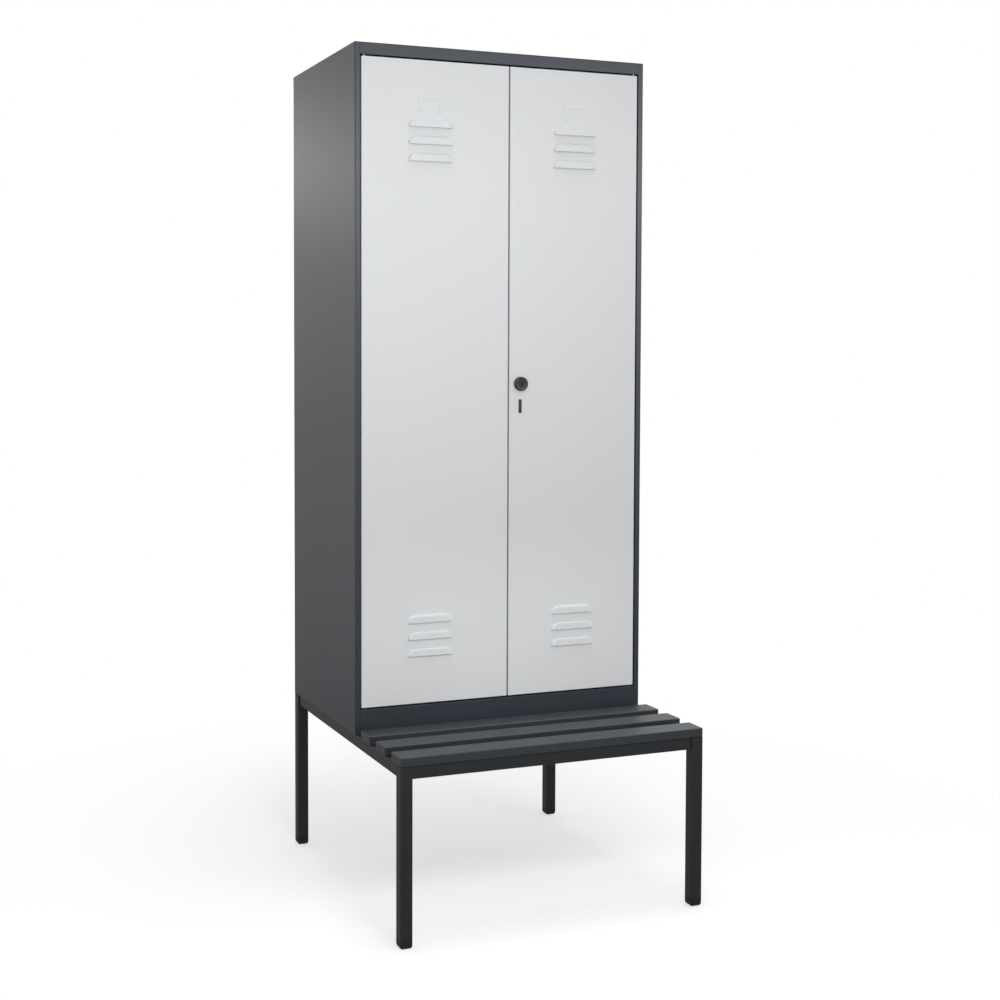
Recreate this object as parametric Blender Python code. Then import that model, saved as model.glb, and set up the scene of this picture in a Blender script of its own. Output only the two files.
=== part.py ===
"""Two-door steel locker on a welded tube frame that carries a slatted bench in front."""
import itertools
import math

import bmesh
import bpy
from mathutils import Matrix, Vector

# Overall sizes, in metres
CABINET_WIDTH = 0.800
CABINET_DEPTH = 0.500
CABINET_HEIGHT = 1.700
BENCH_REACH = 0.310
FRAME_TOP = 0.423

# Sheet metal and the gaps between pieces that touch
SHEET = 0.001
SEAT_GAP = 0.0003
OVERRUN = 0.002
CORNER_SIZE = 0.000001

# Carcass folds
JAMB_WIDTH = 0.014
JAMB_LIP = 0.016
REAR_FLANGE = 0.012
FOOT_FLANGE = 0.024
FASCIA_HEIGHT = 0.029
PLINTH_HEIGHT = 0.062
RETURN_DEPTH = 0.013
RETURN_LIP = 0.015
PLINTH_FOOT = 0.020
WELD_FLANGE = 0.012
FLOOR_FLANGE = 0.025
POST_SETBACK = 0.023
POST_WIDTH = 0.032
POST_LIP = 0.015

# Doors
DOOR_DEPTH = 0.020
DOOR_LIP = 0.010
DOOR_SIDE_GAP = 0.0035
DOOR_END_GAP = 0.004
SEAM_GAP = 0.004
SEAM_OFFSET = 0.0155
DOOR_BEND = 0.0015
STIFFENER_WIDTH = 0.030
STIFFENER_FOOT = 0.010
STIFFENER_DEPTH = 0.015
STIFFENER_CLEAR = 0.012
BUFFER_WIDTH = 0.016
BUFFER_BEVEL = 0.0006

# Louvres pressed out of the doors
LOUVRE_WIDTH = 0.121
LOUVRE_HEIGHT = 0.020
LOUVRE_RISE = 0.006
LOUVRE_SHOULDER = 0.022
LOUVRE_PITCH = 0.042
LOUVRE_COUNT = 3
UPPER_LOUVRE_DROP = 0.143
LOWER_LOUVRE_HEIGHT = 0.121
LOUVRE_INSET_SHARES = (0.0, 0.11, 0.27, 0.5)
LOUVRE_RISE_SHARES = (0.0, 0.55, 0.87, 1.0)

# Label holder pressed into each door above the louvres
LABEL_WIDTH = 0.064
LABEL_HEIGHT = 0.0365
LABEL_DROP = 0.091
LABEL_RIB_WIDTH = 0.0125
LABEL_RISE = 0.0012
LABEL_SLOPE = 0.0015
LABEL_BAR_HEIGHT = 0.004
LABEL_BAR_DROP = 0.0024
LABEL_BAR_RISE = 0.0008

# Hinge pins and their bushes
HINGE_INSET = 0.009
HINGE_DEPTH = 0.006
PIN_RADIUS = 0.003
PIN_HEAD_RADIUS = 0.0038
PIN_HEAD_HEIGHT = 0.002
PIN_REACH = 0.012
BUSH_WALL = 0.001
BUSH_REACH = 0.006
BUSH_FLANGE_RADIUS = 0.005
UPPER_BUSH_FLANGE = 0.0012
TURN_GAP = 0.0003

# Knob, lock body, cylinder and cam
KNOB_INSET = 0.0305
KNOB_RADIUS = 0.018
KNOB_FRONT = 0.012
KNOB_ROUND = 0.0035
KNOB_DOOR_GAP = 0.0006
SPINDLE_RADIUS = 0.005
COLLAR_RADIUS = 0.013
COLLAR_HEIGHT = 0.0015
SLEEVE_RADIUS = 0.0095
SLEEVE_END = 0.009
NUT_FLATS = 0.024
NUT_HEIGHT = 0.004
CYLINDER_RADIUS = 0.007
CYLINDER_LENGTH = 0.007
CYLINDER_RECESS = 0.0003
KEY_SLOT_WIDTH = 0.002
KEY_SLOT_HEIGHT = 0.009
KEY_SLOT_DEPTH = 0.005
CAM_DEPTH = 0.0115
CAM_THICKNESS = 0.002
CAM_RADIUS = 0.0145
CAM_SQUARE = 0.0067
TONGUE_LENGTH = 0.038
TONGUE_WIDTH = 0.010
CRANK_RADIUS = 0.012
CRANK_PIN_RADIUS = 0.002
CAM_SCREW_RADIUS = 0.002
CAM_SCREW_LENGTH = 0.008
CAM_SCREW_HEAD_RADIUS = 0.0038
CAM_SCREW_HEAD = 0.0024
TONGUE_CLEAR = 0.001
KNOB_TURN_DEG = 90

# Locking rods and their guides
ROD_WIDTH = 0.012
ROD_THICKNESS = 0.0025
ROD_DEPTH = 0.0145
ROD_TAIL = 0.006
ROD_SHORT = 0.0015
ROD_CLEAR = 0.0004
ROD_SLOT_PLAY = 0.00066
GUIDE_WIDTH = 0.018
GUIDE_HEIGHT = 0.010
GUIDE_WALL = 0.0014
GUIDE_SHARE = 0.8

# Black plug in the slot under the knob
PLUG_WIDTH = 0.0087
PLUG_LENGTH = 0.035
PLUG_DROP = 0.057
PLUG_RIM = 0.001
PLUG_THICKNESS = 0.001
PLUG_DEPTH = 0.005

# Hat shelves, garment rails and sliding hooks
SHELF_HEIGHT = 1.367
SHELF_SETBACK = 0.045
SHELF_REAR_GAP = 0.004
SHELF_FOLD = 0.025
SHELF_SIDE_FOLD = 0.035
RAIL_BAR_RADIUS = 0.008
RAIL_BAR_WALL = 0.0015
RAIL_BAR_DROP = 0.020
HOOK_COUNT = 3
HOOK_PITCH = 0.120
HOOK_THICKNESS = 0.008
HOOK_RING_WALL = 0.0035
HOOK_RING_GAP = 0.0004
HOOK_STRIP = 0.006
HOOK_DROP = 0.050
HOOK_BEND_RADIUS = 0.014
HOOK_TIP = 0.008

# Bench frame
LEG_SIZE = 0.030
LEG_WALL = 0.002
TUBE_ROUND = 0.0025
RAIL_HEIGHT = 0.030
RAIL_WIDTH = 0.020
RAIL_WALL = 0.0015
RAIL_INSET = 0.0045
CAP_HEIGHT = 0.0225
CAP_SOLE = 0.015
CAP_SHOULDER = 0.010
CAP_SPIGOT = 0.020

# Seat slats
SLAT_COUNT = 3
SLAT_DEPTH = 0.062
SLAT_THICKNESS = 0.022
SLAT_ROUND = 0.003
SLAT_CORNER = 0.005

# Bolts and screws
BOLT_RADIUS = 0.004
BOLT_HEAD_FLATS = 0.013
BOLT_HEAD_HEIGHT = 0.0053
BOLT_NUT_HEIGHT = 0.0065
BOLT_END = 0.003
BOLT_INSET = 0.100
SCREW_RADIUS = 0.003
SCREW_BITE = 0.015
SCREW_INSET = 0.020
HOLE_GAP = 0.0003

# Facets round a circle, and the profile that makes a bevel round
FINE_STEPS = 32
COARSE_STEPS = 16
HEX_STEPS = 6
ARC_STEPS = 4
WINDOW_STEPS = 3
SMOOTH_DEG = 35
ROUND_PROFILE = 0.5
BEND_STEPS = 2
CHAMFER_STEPS = 1

# Places worked out from the sizes above
TOTAL_DEPTH = CABINET_DEPTH + BENCH_REACH
HALF_WIDTH = CABINET_WIDTH / 2
REAR_Y = TOTAL_DEPTH / 2
BENCH_Y = -TOTAL_DEPTH / 2
FACE_Y = REAR_Y - CABINET_DEPTH
CABINET_TOP = FRAME_TOP + CABINET_HEIGHT
TUBE_TOP = FRAME_TOP - SEAT_GAP
PLINTH_TOP = FRAME_TOP + PLINTH_HEIGHT
FLOOR_Z = PLINTH_TOP - RETURN_LIP
FASCIA_BOTTOM = CABINET_TOP - FASCIA_HEIGHT
INNER_HALF = HALF_WIDTH - SHEET - SEAT_GAP
FRAME_HALF = HALF_WIDTH - JAMB_WIDTH - SEAT_GAP
UNDER_TOP = CABINET_TOP - SHEET - SEAT_GAP
BACK_Y = REAR_Y - SHEET - SEAT_GAP
LINING_Y = BACK_Y - SHEET - SEAT_GAP
SEAM_X = SEAM_OFFSET
DOOR_LOW = PLINTH_TOP + DOOR_END_GAP
DOOR_HIGH = FASCIA_BOTTOM - DOOR_END_GAP
DOOR_OUTER = HALF_WIDTH - JAMB_WIDTH - DOOR_SIDE_GAP
LEFT_DOOR_X = (-DOOR_OUTER, SEAM_X - SEAM_GAP / 2)
RIGHT_DOOR_X = (SEAM_X + SEAM_GAP / 2, DOOR_OUTER)
HINGE_X = DOOR_OUTER - HINGE_INSET
HINGE_Y = FACE_Y + HINGE_DEPTH
KNOB_X = RIGHT_DOOR_X[0] + KNOB_INSET
KNOB_Z = (DOOR_LOW + DOOR_HIGH) / 2
LOUVRE_X = CABINET_WIDTH / 4
SHELF_Z = FRAME_TOP + SHELF_HEIGHT
RAIL_BAR_Z = SHELF_Z - RAIL_BAR_DROP
SEAT_TOP = FRAME_TOP + SLAT_THICKNESS
BUSH_BORE = PIN_RADIUS + TURN_GAP
BUSH_RADIUS = BUSH_BORE + BUSH_WALL
CAM_BACK = CAM_DEPTH + CAM_THICKNESS
KNOB_TURN = math.radians(KNOB_TURN_DEG)
CRANK_START = KNOB_TURN / 2
CRANK_DROP = CRANK_RADIUS * math.sin(CRANK_START)
ROD_OFFSET = CRANK_RADIUS * (1 + math.cos(CRANK_START)) / 2

X_WAY = Vector((1, 0, 0))
Y_WAY = Vector((0, 1, 0))
Z_WAY = Vector((0, 0, 1))
LEFT = -1
RIGHT = 1


# Plain shapes

def lay(origin, across, up, along):
    """Matrix that lays local X, Y and Z along three directions, from an origin."""
    turn = Matrix((across, up, along)).transposed()
    return Matrix.Translation(origin) @ turn.to_4x4()


def standing(x, y, z=0):
    """A turned or extruded shape that stands up from a point."""
    return lay((x, y, z), X_WAY, Y_WAY, Z_WAY)


def facing(x, z, depth=0):
    """A shape whose outline lies on the cabinet's front and whose height runs inwards."""
    return lay((x, FACE_Y + depth, z), X_WAY, Z_WAY, Y_WAY)


def sideways(x, y, z):
    """A shape whose outline lies in a plane across the cabinet's width."""
    return lay((x, y, z), Y_WAY, Z_WAY, X_WAY)


def plate(xs, ys, zs):
    """A box, given as its two limits along each axis."""
    return tuple(tuple(sorted(limits)) for limits in (xs, ys, zs))


def around(centre, half):
    """The limits of a span that is centred on a place."""
    return centre - half, centre + half


def holds(boxes, point):
    """True where a point lies in one of the boxes."""
    return any(all(low < at < high for (low, high), at in zip(box, point)) for box in boxes)


def levels(boxes, axis):
    """The places along one axis where a box begins or ends, each once."""
    places = []
    for place in sorted(itertools.chain.from_iterable(box[axis] for box in boxes)):
        if not places or place - places[-1] > CORNER_SIZE:
            places.append(place)
    return places


def folded(plates, cuts=()):
    """One closed body out of plates that meet or cross, less the cuts."""
    grid = [levels(list(plates) + list(cuts), axis) for axis in range(3)]
    middles = [[(low + high) / 2 for low, high in zip(line, line[1:])] for line in grid]
    filled = set()
    for cell in itertools.product(*(range(len(line)) for line in middles)):
        point = [middles[axis][place] for axis, place in enumerate(cell)]
        if holds(plates, point) and not holds(cuts, point):
            filled.add(cell)
    shape = bmesh.new()
    corners = {}
    for cell in sorted(filled):
        add_cell_faces(shape, grid, corners, filled, cell)
    return tidy(shape)


def add_cell_faces(shape, grid, corners, filled, cell):
    """The faces of one filled cell that no other filled cell covers."""
    for axis, side in itertools.product(range(3), (0, 1)):
        beside = list(cell)
        beside[axis] += 1 if side else -1
        if tuple(beside) in filled:
            continue
        first, second = (axis + 1) % 3, (axis + 2) % 3
        ring = []
        for step_first, step_second in ((0, 0), (1, 0), (1, 1), (0, 1)):
            corner = list(cell)
            corner[axis] += side
            corner[first] += step_first
            corner[second] += step_second
            ring.append(corner_vertex(shape, grid, corners, tuple(corner)))
        shape.faces.new(ring if side else reversed(ring))


def corner_vertex(shape, grid, corners, corner):
    """The vertex at a corner of the grid, made once."""
    if corner not in corners:
        corners[corner] = shape.verts.new([grid[axis][place] for axis, place in enumerate(corner)])
    return corners[corner]


def tidy(shape):
    """Join flat neighbouring faces and point every face outwards."""
    bmesh.ops.dissolve_limit(
        shape, angle_limit=math.radians(1), verts=shape.verts, edges=shape.edges)
    bmesh.ops.recalc_face_normals(shape, faces=shape.faces)
    return shape


def bar(xs, ys, zs, round_size=0, steps=BEND_STEPS, which=lambda edge: True):
    """A box with its chosen edges rounded."""
    shape = folded([plate(xs, ys, zs)])
    if round_size:
        round_edges(shape, which, round_size, steps)
    return shape


def round_edges(shape, which, round_size, steps):
    """Round the edges that a test picks."""
    picked = [edge for edge in shape.edges if which(edge)]
    bmesh.ops.bevel(
        shape, geom=picked, offset=round_size, segments=steps, profile=ROUND_PROFILE,
        affect="EDGES", clamp_overlap=True)
    bmesh.ops.recalc_face_normals(shape, faces=shape.faces)


def runs_along(edge, axis):
    """True where an edge runs along one axis."""
    way = edge.verts[1].co - edge.verts[0].co
    return abs(way[axis]) > way.length / 2


def turned(profile, place, steps=COARSE_STEPS):
    """A profile of (radius, height) points turned about the local Z axis.

    A profile that starts and ends on the axis makes a solid; any other is closed into a ring.
    """
    shape = bmesh.new()
    points = [shape.verts.new((radius, 0, height)) for radius, height in profile]
    edges = [shape.edges.new(pair) for pair in zip(points, points[1:])]
    if profile[0][0] > 0:
        edges.append(shape.edges.new((points[-1], points[0])))
    bmesh.ops.spin(
        shape, geom=points + edges, axis=Z_WAY, cent=(0, 0, 0), angle=math.tau, steps=steps,
        use_merge=True)
    bmesh.ops.remove_doubles(shape, verts=shape.verts, dist=CORNER_SIZE)
    return placed(shape, place)


def extruded(outline, height, place, holes=()):
    """A flat outline, with holes, given a height along the local Z axis."""
    shape = bmesh.new()
    edges = []
    for loop in (outline, *holes):
        points = [shape.verts.new((x, y, 0)) for x, y in loop]
        edges += [shape.edges.new(pair) for pair in zip(points, points[1:] + points[:1])]
    bmesh.ops.triangle_fill(shape, use_beauty=True, edges=edges)
    sides = bmesh.ops.extrude_face_region(shape, geom=list(shape.faces))["geom"]
    raised = [item for item in sides if isinstance(item, bmesh.types.BMVert)]
    bmesh.ops.translate(shape, verts=raised, vec=Z_WAY * height)
    return placed(shape, place)


def placed(shape, place):
    """Move a shape to its place and point every face outwards."""
    bmesh.ops.transform(shape, matrix=place, verts=shape.verts)
    bmesh.ops.recalc_face_normals(shape, faces=shape.faces)
    return shape


def gathered(shapes):
    """Several shapes in one mesh, still separate bodies."""
    whole = bmesh.new()
    for shape in shapes:
        mesh = bpy.data.meshes.new("gathered")
        shape.to_mesh(mesh)
        shape.free()
        whole.from_mesh(mesh)
        bpy.data.meshes.remove(mesh)
    return whole


def arc(centre, radii, start_deg, end_deg, steps=ARC_STEPS):
    """Points on an ellipse from one angle to another."""
    angles = [math.radians(start_deg + (end_deg - start_deg) * step / steps)
              for step in range(steps + 1)]
    return [(centre[0] + radii[0] * math.cos(angle), centre[1] + radii[1] * math.sin(angle))
            for angle in angles]


def circle(radius, steps=COARSE_STEPS):
    """Points round a circle."""
    return arc((0, 0), (radius, radius), 0, 360, steps)[:-1]


def hexagon(flats):
    """A hexagon, by its width across flats."""
    return circle(flats / math.sqrt(3), HEX_STEPS)


def rounded_rectangle(width, height, radius, steps=ARC_STEPS):
    """A rectangle about the origin with round corners."""
    across, up = width / 2 - radius, height / 2 - radius
    corners = ((across, up, 0), (-across, up, 90), (-across, -up, 180), (across, -up, 270))
    return [point for x, y, start in corners
            for point in arc((x, y), (radius, radius), start, start + 90, steps)]


def cylinder(radius, bottom, top, place, steps=COARSE_STEPS):
    """A plain round bar."""
    return turned([(0, bottom), (radius, bottom), (radius, top), (0, top)], place, steps)


# Objects

def paint(name, colour, roughness, metallic=0.0):
    """A plain Principled material."""
    material = bpy.data.materials.new(name)
    material.use_nodes = True
    shader = material.node_tree.nodes["Principled BSDF"]
    shader.inputs["Base Color"].default_value = (*colour, 1.0)
    shader.inputs["Roughness"].default_value = roughness
    shader.inputs["Metallic"].default_value = metallic
    return material


def add_part(name, shape, material, pivot=None, smooth=False):
    """A named object, hung on its pivot where it moves."""
    mesh = bpy.data.meshes.new(name)
    shape.to_mesh(mesh)
    shape.free()
    mesh.materials.append(material)
    part = bpy.data.objects.new(name, mesh)
    bpy.context.scene.collection.objects.link(part)
    if smooth:
        mesh.shade_smooth()
        mesh.set_sharp_from_angle(angle=math.radians(SMOOTH_DEG))
    if pivot:
        hang(part, pivot)
    return part


def add_pivot(name, place, carrier=None):
    """An empty on a joint's axis."""
    pivot = bpy.data.objects.new(name, None)
    pivot.location = place
    bpy.context.scene.collection.objects.link(pivot)
    if carrier:
        hang(pivot, carrier)
    return pivot


def hang(child, pivot):
    """Parent an object to a pivot, without moving it."""
    bpy.context.view_layer.update()
    child.parent = pivot
    child.matrix_parent_inverse = pivot.matrix_world.inverted()


def carve(part, shape, operation="DIFFERENCE"):
    """Cut a shape out of a part, or join it to the part."""
    mesh = bpy.data.meshes.new("tool")
    shape.to_mesh(mesh)
    shape.free()
    tool = bpy.data.objects.new("tool", mesh)
    bpy.context.scene.collection.objects.link(tool)
    modifier = part.modifiers.new("carve", "BOOLEAN")
    modifier.operation = operation
    modifier.object = tool
    modifier.solver = "EXACT"
    parent, part.parent = part.parent, None
    bpy.context.view_layer.update()
    result = bpy.data.meshes.new_from_object(
        part.evaluated_get(bpy.context.evaluated_depsgraph_get()))
    part.modifiers.remove(modifier)
    old = part.data
    part.data = result
    bpy.data.meshes.remove(old)
    seal(result)
    result.name = part.name
    bpy.data.objects.remove(tool)
    bpy.data.meshes.remove(mesh)
    if parent:
        hang(part, parent)
    return part


def seal(mesh):
    """Join the corners that a Boolean leaves side by side."""
    shape = bmesh.new()
    shape.from_mesh(mesh)
    bmesh.ops.remove_doubles(shape, verts=shape.verts, dist=CORNER_SIZE)
    bmesh.ops.dissolve_degenerate(shape, dist=CORNER_SIZE, edges=shape.edges)
    shape.to_mesh(mesh)
    shape.free()


# Carcass

def side_panel(side, paints):
    """Side wall with its jamb, rear flange and foot flange folded from one sheet."""
    outer = side * HALF_WIDTH
    jamb = (side * (HALF_WIDTH - JAMB_WIDTH), outer)
    jamb_z = (FRAME_TOP, UNDER_TOP)
    foot_y = (FACE_Y + POST_SETBACK, REAR_Y)
    shape = folded([
        plate((outer - side * SHEET, outer), (FACE_Y, REAR_Y), (FRAME_TOP, CABINET_TOP)),
        plate(jamb, (FACE_Y, FACE_Y + SHEET), jamb_z),
        plate((jamb[0], jamb[0] + side * SHEET), (FACE_Y, FACE_Y + JAMB_LIP), jamb_z),
        plate((outer - side * REAR_FLANGE, outer), (REAR_Y - SHEET, REAR_Y), jamb_z),
        plate((outer - side * FOOT_FLANGE, outer), foot_y, (FRAME_TOP, FRAME_TOP + SHEET)),
    ])
    add_part(side_name(side, "side_panel"), shape, paints["body"])


def side_name(side, name):
    """left_name or right_name."""
    return ("left_" if side == LEFT else "right_") + name


def top_panel(paints):
    """Top sheet with the front fascia, its return and lip, and flanges down the other sides."""
    frame = (-FRAME_HALF, FRAME_HALF)
    return_y = FACE_Y + RETURN_DEPTH
    flange_y = (FACE_Y + POST_SETBACK, LINING_Y)
    plates = [
        plate((-INNER_HALF, INNER_HALF), (FACE_Y, REAR_Y), (CABINET_TOP - SHEET, CABINET_TOP)),
        plate(frame, (FACE_Y, FACE_Y + SHEET), (FASCIA_BOTTOM, CABINET_TOP)),
        plate(frame, (FACE_Y, return_y), (FASCIA_BOTTOM, FASCIA_BOTTOM + SHEET)),
        plate(frame, (return_y - SHEET, return_y), (FASCIA_BOTTOM, FASCIA_BOTTOM + RETURN_LIP)),
        plate(around(0, HALF_WIDTH - REAR_FLANGE - SEAT_GAP), (REAR_Y - SHEET, REAR_Y),
              (CABINET_TOP - WELD_FLANGE, CABINET_TOP)),
    ]
    for side in (LEFT, RIGHT):
        plates.append(plate((side * (INNER_HALF - SHEET), side * INNER_HALF), flange_y,
                            (CABINET_TOP - WELD_FLANGE, CABINET_TOP)))
    part = add_part("top_panel", folded(plates), paints["body"])
    carve(part, hinge_holes(FASCIA_BOTTOM, PIN_RADIUS + HOLE_GAP))


def hinge_holes(bottom, radius, sides=(LEFT, RIGHT)):
    """Cutters through one sheet at the hinge axes."""
    return gathered(
        cylinder(radius, bottom - OVERRUN, bottom + SHEET + OVERRUN,
                 standing(side * HINGE_X, HINGE_Y)) for side in sides)


def bottom_panel(paints):
    """Floor with a stepped front edge, the plinth fascia below it and feet with weld nuts."""
    frame = (-FRAME_HALF, FRAME_HALF)
    inner = (-INNER_HALF, INNER_HALF)
    feet = around(0, HALF_WIDTH - FOOT_FLANGE - SEAT_GAP)
    return_y = FACE_Y + RETURN_DEPTH
    wide_y = FACE_Y + JAMB_LIP + SEAT_GAP
    floor_z = (FLOOR_Z - SHEET, FLOOR_Z)
    foot_z = (FRAME_TOP, FRAME_TOP + SHEET)
    plates = [
        plate(frame, (FACE_Y, FACE_Y + SHEET), (FRAME_TOP, PLINTH_TOP)),
        plate(frame, (FACE_Y, FACE_Y + PLINTH_FOOT), foot_z),
        plate(frame, (FACE_Y, return_y), (PLINTH_TOP - SHEET, PLINTH_TOP)),
        plate(frame, (return_y - SHEET, return_y), (FLOOR_Z - SHEET, PLINTH_TOP)),
        plate(frame, (return_y - SHEET, wide_y), floor_z),
        plate(inner, (wide_y, LINING_Y), floor_z),
        plate(feet, (LINING_Y - SHEET, LINING_Y), (FRAME_TOP, FLOOR_Z)),
        plate(feet, (LINING_Y - FOOT_FLANGE, LINING_Y), foot_z),
    ]
    for side in (LEFT, RIGHT):
        plates.append(plate((side * (INNER_HALF - SHEET), side * INNER_HALF), (wide_y, LINING_Y),
                            (FLOOR_Z - FLOOR_FLANGE, FLOOR_Z)))
    part = add_part("bottom_panel", folded(plates), paints["body"])
    nut_low = FRAME_TOP + SHEET / 2
    nut_high = FRAME_TOP + SHEET + BOLT_NUT_HEIGHT
    for place in bolt_places():
        nut = extruded(hexagon(BOLT_HEAD_FLATS), nut_high - nut_low, standing(*place, nut_low))
        carve(part, nut, "UNION")
    carve(part, hinge_holes(PLINTH_TOP - SHEET, PIN_RADIUS + HOLE_GAP))
    carve(part, bolt_holes(FRAME_TOP, nut_high))


def back_panel(paints):
    """Flat back sheet, welded in front of the flanges of the sides and the top."""
    shape = folded([plate((-INNER_HALF, INNER_HALF), (BACK_Y - SHEET, BACK_Y),
                          (FRAME_TOP + SHEET + SEAT_GAP, UNDER_TOP))])
    add_part("back_panel", shape, paints["body"])


def centre_partition(paints):
    """Wall between the compartments, with the post that the doors close against."""
    wall_x = around(0, SHEET / 2)
    post_y = FACE_Y + POST_SETBACK
    whole_z = (FLOOR_Z + SEAT_GAP, UNDER_TOP)
    flange_x = (wall_x[0], WELD_FLANGE)
    shape = folded([
        plate(wall_x, (post_y, LINING_Y), whole_z),
        plate((wall_x[0], POST_WIDTH), (post_y, post_y + SHEET), whole_z),
        plate((POST_WIDTH - SHEET, POST_WIDTH), (post_y, post_y + POST_LIP), whole_z),
        plate(flange_x, (post_y, LINING_Y), (whole_z[0], whole_z[0] + SHEET)),
        plate(flange_x, (post_y, LINING_Y), (whole_z[1] - SHEET, whole_z[1])),
        plate(flange_x, (LINING_Y - SHEET, LINING_Y), whole_z),
    ])
    add_part("centre_partition", shape, paints["body"])


def door_buffer_strip(paints):
    """Rubber strip up the post, behind the edges of both doors."""
    depth_y = (FACE_Y + DOOR_DEPTH + SEAT_GAP, FACE_Y + POST_SETBACK - SEAT_GAP)
    shape = bar(around(SEAM_X, BUFFER_WIDTH / 2), depth_y, (DOOR_LOW, DOOR_HIGH), BUFFER_BEVEL)
    add_part("door_buffer_strip", shape, paints["rubber"])


def hinge_pins(side, paints):
    """Pivot pins with heads, held in the returns of the fascia and the plinth."""
    upper_neck = FASCIA_BOTTOM + SHEET + SEAT_GAP
    lower_neck = PLINTH_TOP - SHEET - SEAT_GAP
    for name, tip, neck, head in (
            ("upper_hinge_pin", DOOR_HIGH - PIN_REACH, upper_neck, PIN_HEAD_HEIGHT),
            ("lower_hinge_pin", DOOR_LOW + PIN_REACH, lower_neck, -PIN_HEAD_HEIGHT)):
        profile = [(0, tip), (PIN_RADIUS, tip), (PIN_RADIUS, neck), (PIN_HEAD_RADIUS, neck),
                   (PIN_HEAD_RADIUS, neck + head), (0, neck + head)]
        shape = turned(profile, standing(side * HINGE_X, HINGE_Y))
        add_part(side_name(side, name), shape, paints["steel"], smooth=True)


# Shelves, rails and hooks

def compartment(side):
    """The clear width of one compartment, lowest limit first."""
    return tuple(sorted((side * INNER_HALF, side * (SHEET / 2 + SEAT_GAP))))


def hat_shelf(side, paints):
    """Shelf with folded edges; its deeper side folds carry the garment rail."""
    left, right = compartment(side)
    front, rear = FACE_Y + SHELF_SETBACK, LINING_Y - SHELF_REAR_GAP
    shape = folded([
        plate((left, right), (front, rear), (SHELF_Z - SHEET, SHELF_Z)),
        plate((left, right), (front, front + SHEET), (SHELF_Z - SHELF_FOLD, SHELF_Z)),
        plate((left, right), (rear - SHEET, rear), (SHELF_Z - SHELF_FOLD, SHELF_Z)),
        plate((left, left + SHEET), (front, rear), (SHELF_Z - SHELF_SIDE_FOLD, SHELF_Z)),
        plate((right - SHEET, right), (front, rear), (SHELF_Z - SHELF_SIDE_FOLD, SHELF_Z)),
    ])
    part = add_part(side_name(side, "hat_shelf"), shape, paints["body"])
    hole = RAIL_BAR_RADIUS + HOLE_GAP
    carve(part, cylinder(hole, left - OVERRUN, right + OVERRUN, rail_place(0)))


def rail_place(x):
    """The garment rail's axis, from a place across the cabinet."""
    middle_y = (FACE_Y + SHELF_SETBACK + LINING_Y - SHELF_REAR_GAP) / 2
    return sideways(x, middle_y, RAIL_BAR_Z)


def garment_rail(side, paints):
    """Round tube that ends in the shelf's side folds."""
    left, right = compartment(side)
    low, high = left + SEAT_GAP, right - SEAT_GAP
    bore = RAIL_BAR_RADIUS - RAIL_BAR_WALL
    profile = [(bore, low), (RAIL_BAR_RADIUS, low), (RAIL_BAR_RADIUS, high), (bore, high)]
    add_part(side_name(side, "garment_rail"), turned(profile, rail_place(0)), paints["chrome"],
             smooth=True)


def hook_outline():
    """A ring on the rail with a stem that bends forward and up into a tip."""
    ring = RAIL_BAR_RADIUS + HOOK_RING_GAP + HOOK_RING_WALL
    half = HOOK_STRIP / 2
    lean = math.degrees(math.asin(half / ring))
    bend = (-HOOK_BEND_RADIUS, -HOOK_DROP)
    outer, inner = HOOK_BEND_RADIUS + half, HOOK_BEND_RADIUS - half
    tip = (-2 * HOOK_BEND_RADIUS, HOOK_TIP - HOOK_DROP)
    around_rail = arc((0, 0), (ring, ring), 270 - lean, lean - 90, COARSE_STEPS)
    return (around_rail + arc(bend, (outer, outer), 0, -180, 2 * ARC_STEPS)
            + arc(tip, (half, half), 180, 0) + arc(bend, (inner, inner), -180, 0, 2 * ARC_STEPS))


def coat_hooks(side, paints):
    """Sliding hooks on one rail, each on its own pivot."""
    middle = sum(compartment(side)) / 2
    hole = circle(RAIL_BAR_RADIUS + HOOK_RING_GAP)
    for number in range(HOOK_COUNT):
        x = middle + (number - (HOOK_COUNT - 1) / 2) * HOOK_PITCH
        place = rail_place(x)
        name = side_name(side, f"coat_hook_{number + 1}")
        pivot = add_pivot(name + "_slide", place.translation)
        shape = extruded(hook_outline(), HOOK_THICKNESS, rail_place(x - HOOK_THICKNESS / 2), [hole])
        add_part(name, shape, paints["black"], pivot, smooth=True)


# Doors

def door_shell(name, xs, slots, paints, pivot):
    """Door pressed and folded from one sheet: a tray with an inward lip all round."""
    whole_z = (DOOR_LOW, DOOR_HIGH)
    depth_y = (FACE_Y, FACE_Y + DOOR_DEPTH)
    lip_y = (FACE_Y + DOOR_DEPTH - SHEET, FACE_Y + DOOR_DEPTH)
    plates = [plate(xs, (FACE_Y, FACE_Y + SHEET), whole_z)]
    for start, way in ((xs[0], 1), (xs[1], -1)):
        plates.append(plate((start, start + way * SHEET), depth_y, whole_z))
        plates.append(plate((start, start + way * DOOR_LIP), lip_y, whole_z))
    for start, way in ((DOOR_LOW, 1), (DOOR_HIGH, -1)):
        plates.append(plate(xs, depth_y, (start, start + way * SHEET)))
        plates.append(plate(xs, lip_y, (start, start + way * DOOR_LIP)))
    shape = folded(plates, slots)
    round_edges(shape, on_door_face, DOOR_BEND, BEND_STEPS)
    part = add_part(name, shape, paints["door"], pivot)
    side = LEFT if xs[0] < 0 else RIGHT
    for bottom in (DOOR_LOW, DOOR_HIGH - SHEET):
        carve(part, hinge_holes(bottom, BUSH_RADIUS + HOLE_GAP, (side,)))
    carve(part, louvre_windows(side * LOUVRE_X))
    carve(part, louvre_hoods(side * LOUVRE_X), "UNION")
    for pad in label_holder(side * LOUVRE_X):
        carve(part, pad, "UNION")
    return part


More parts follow.
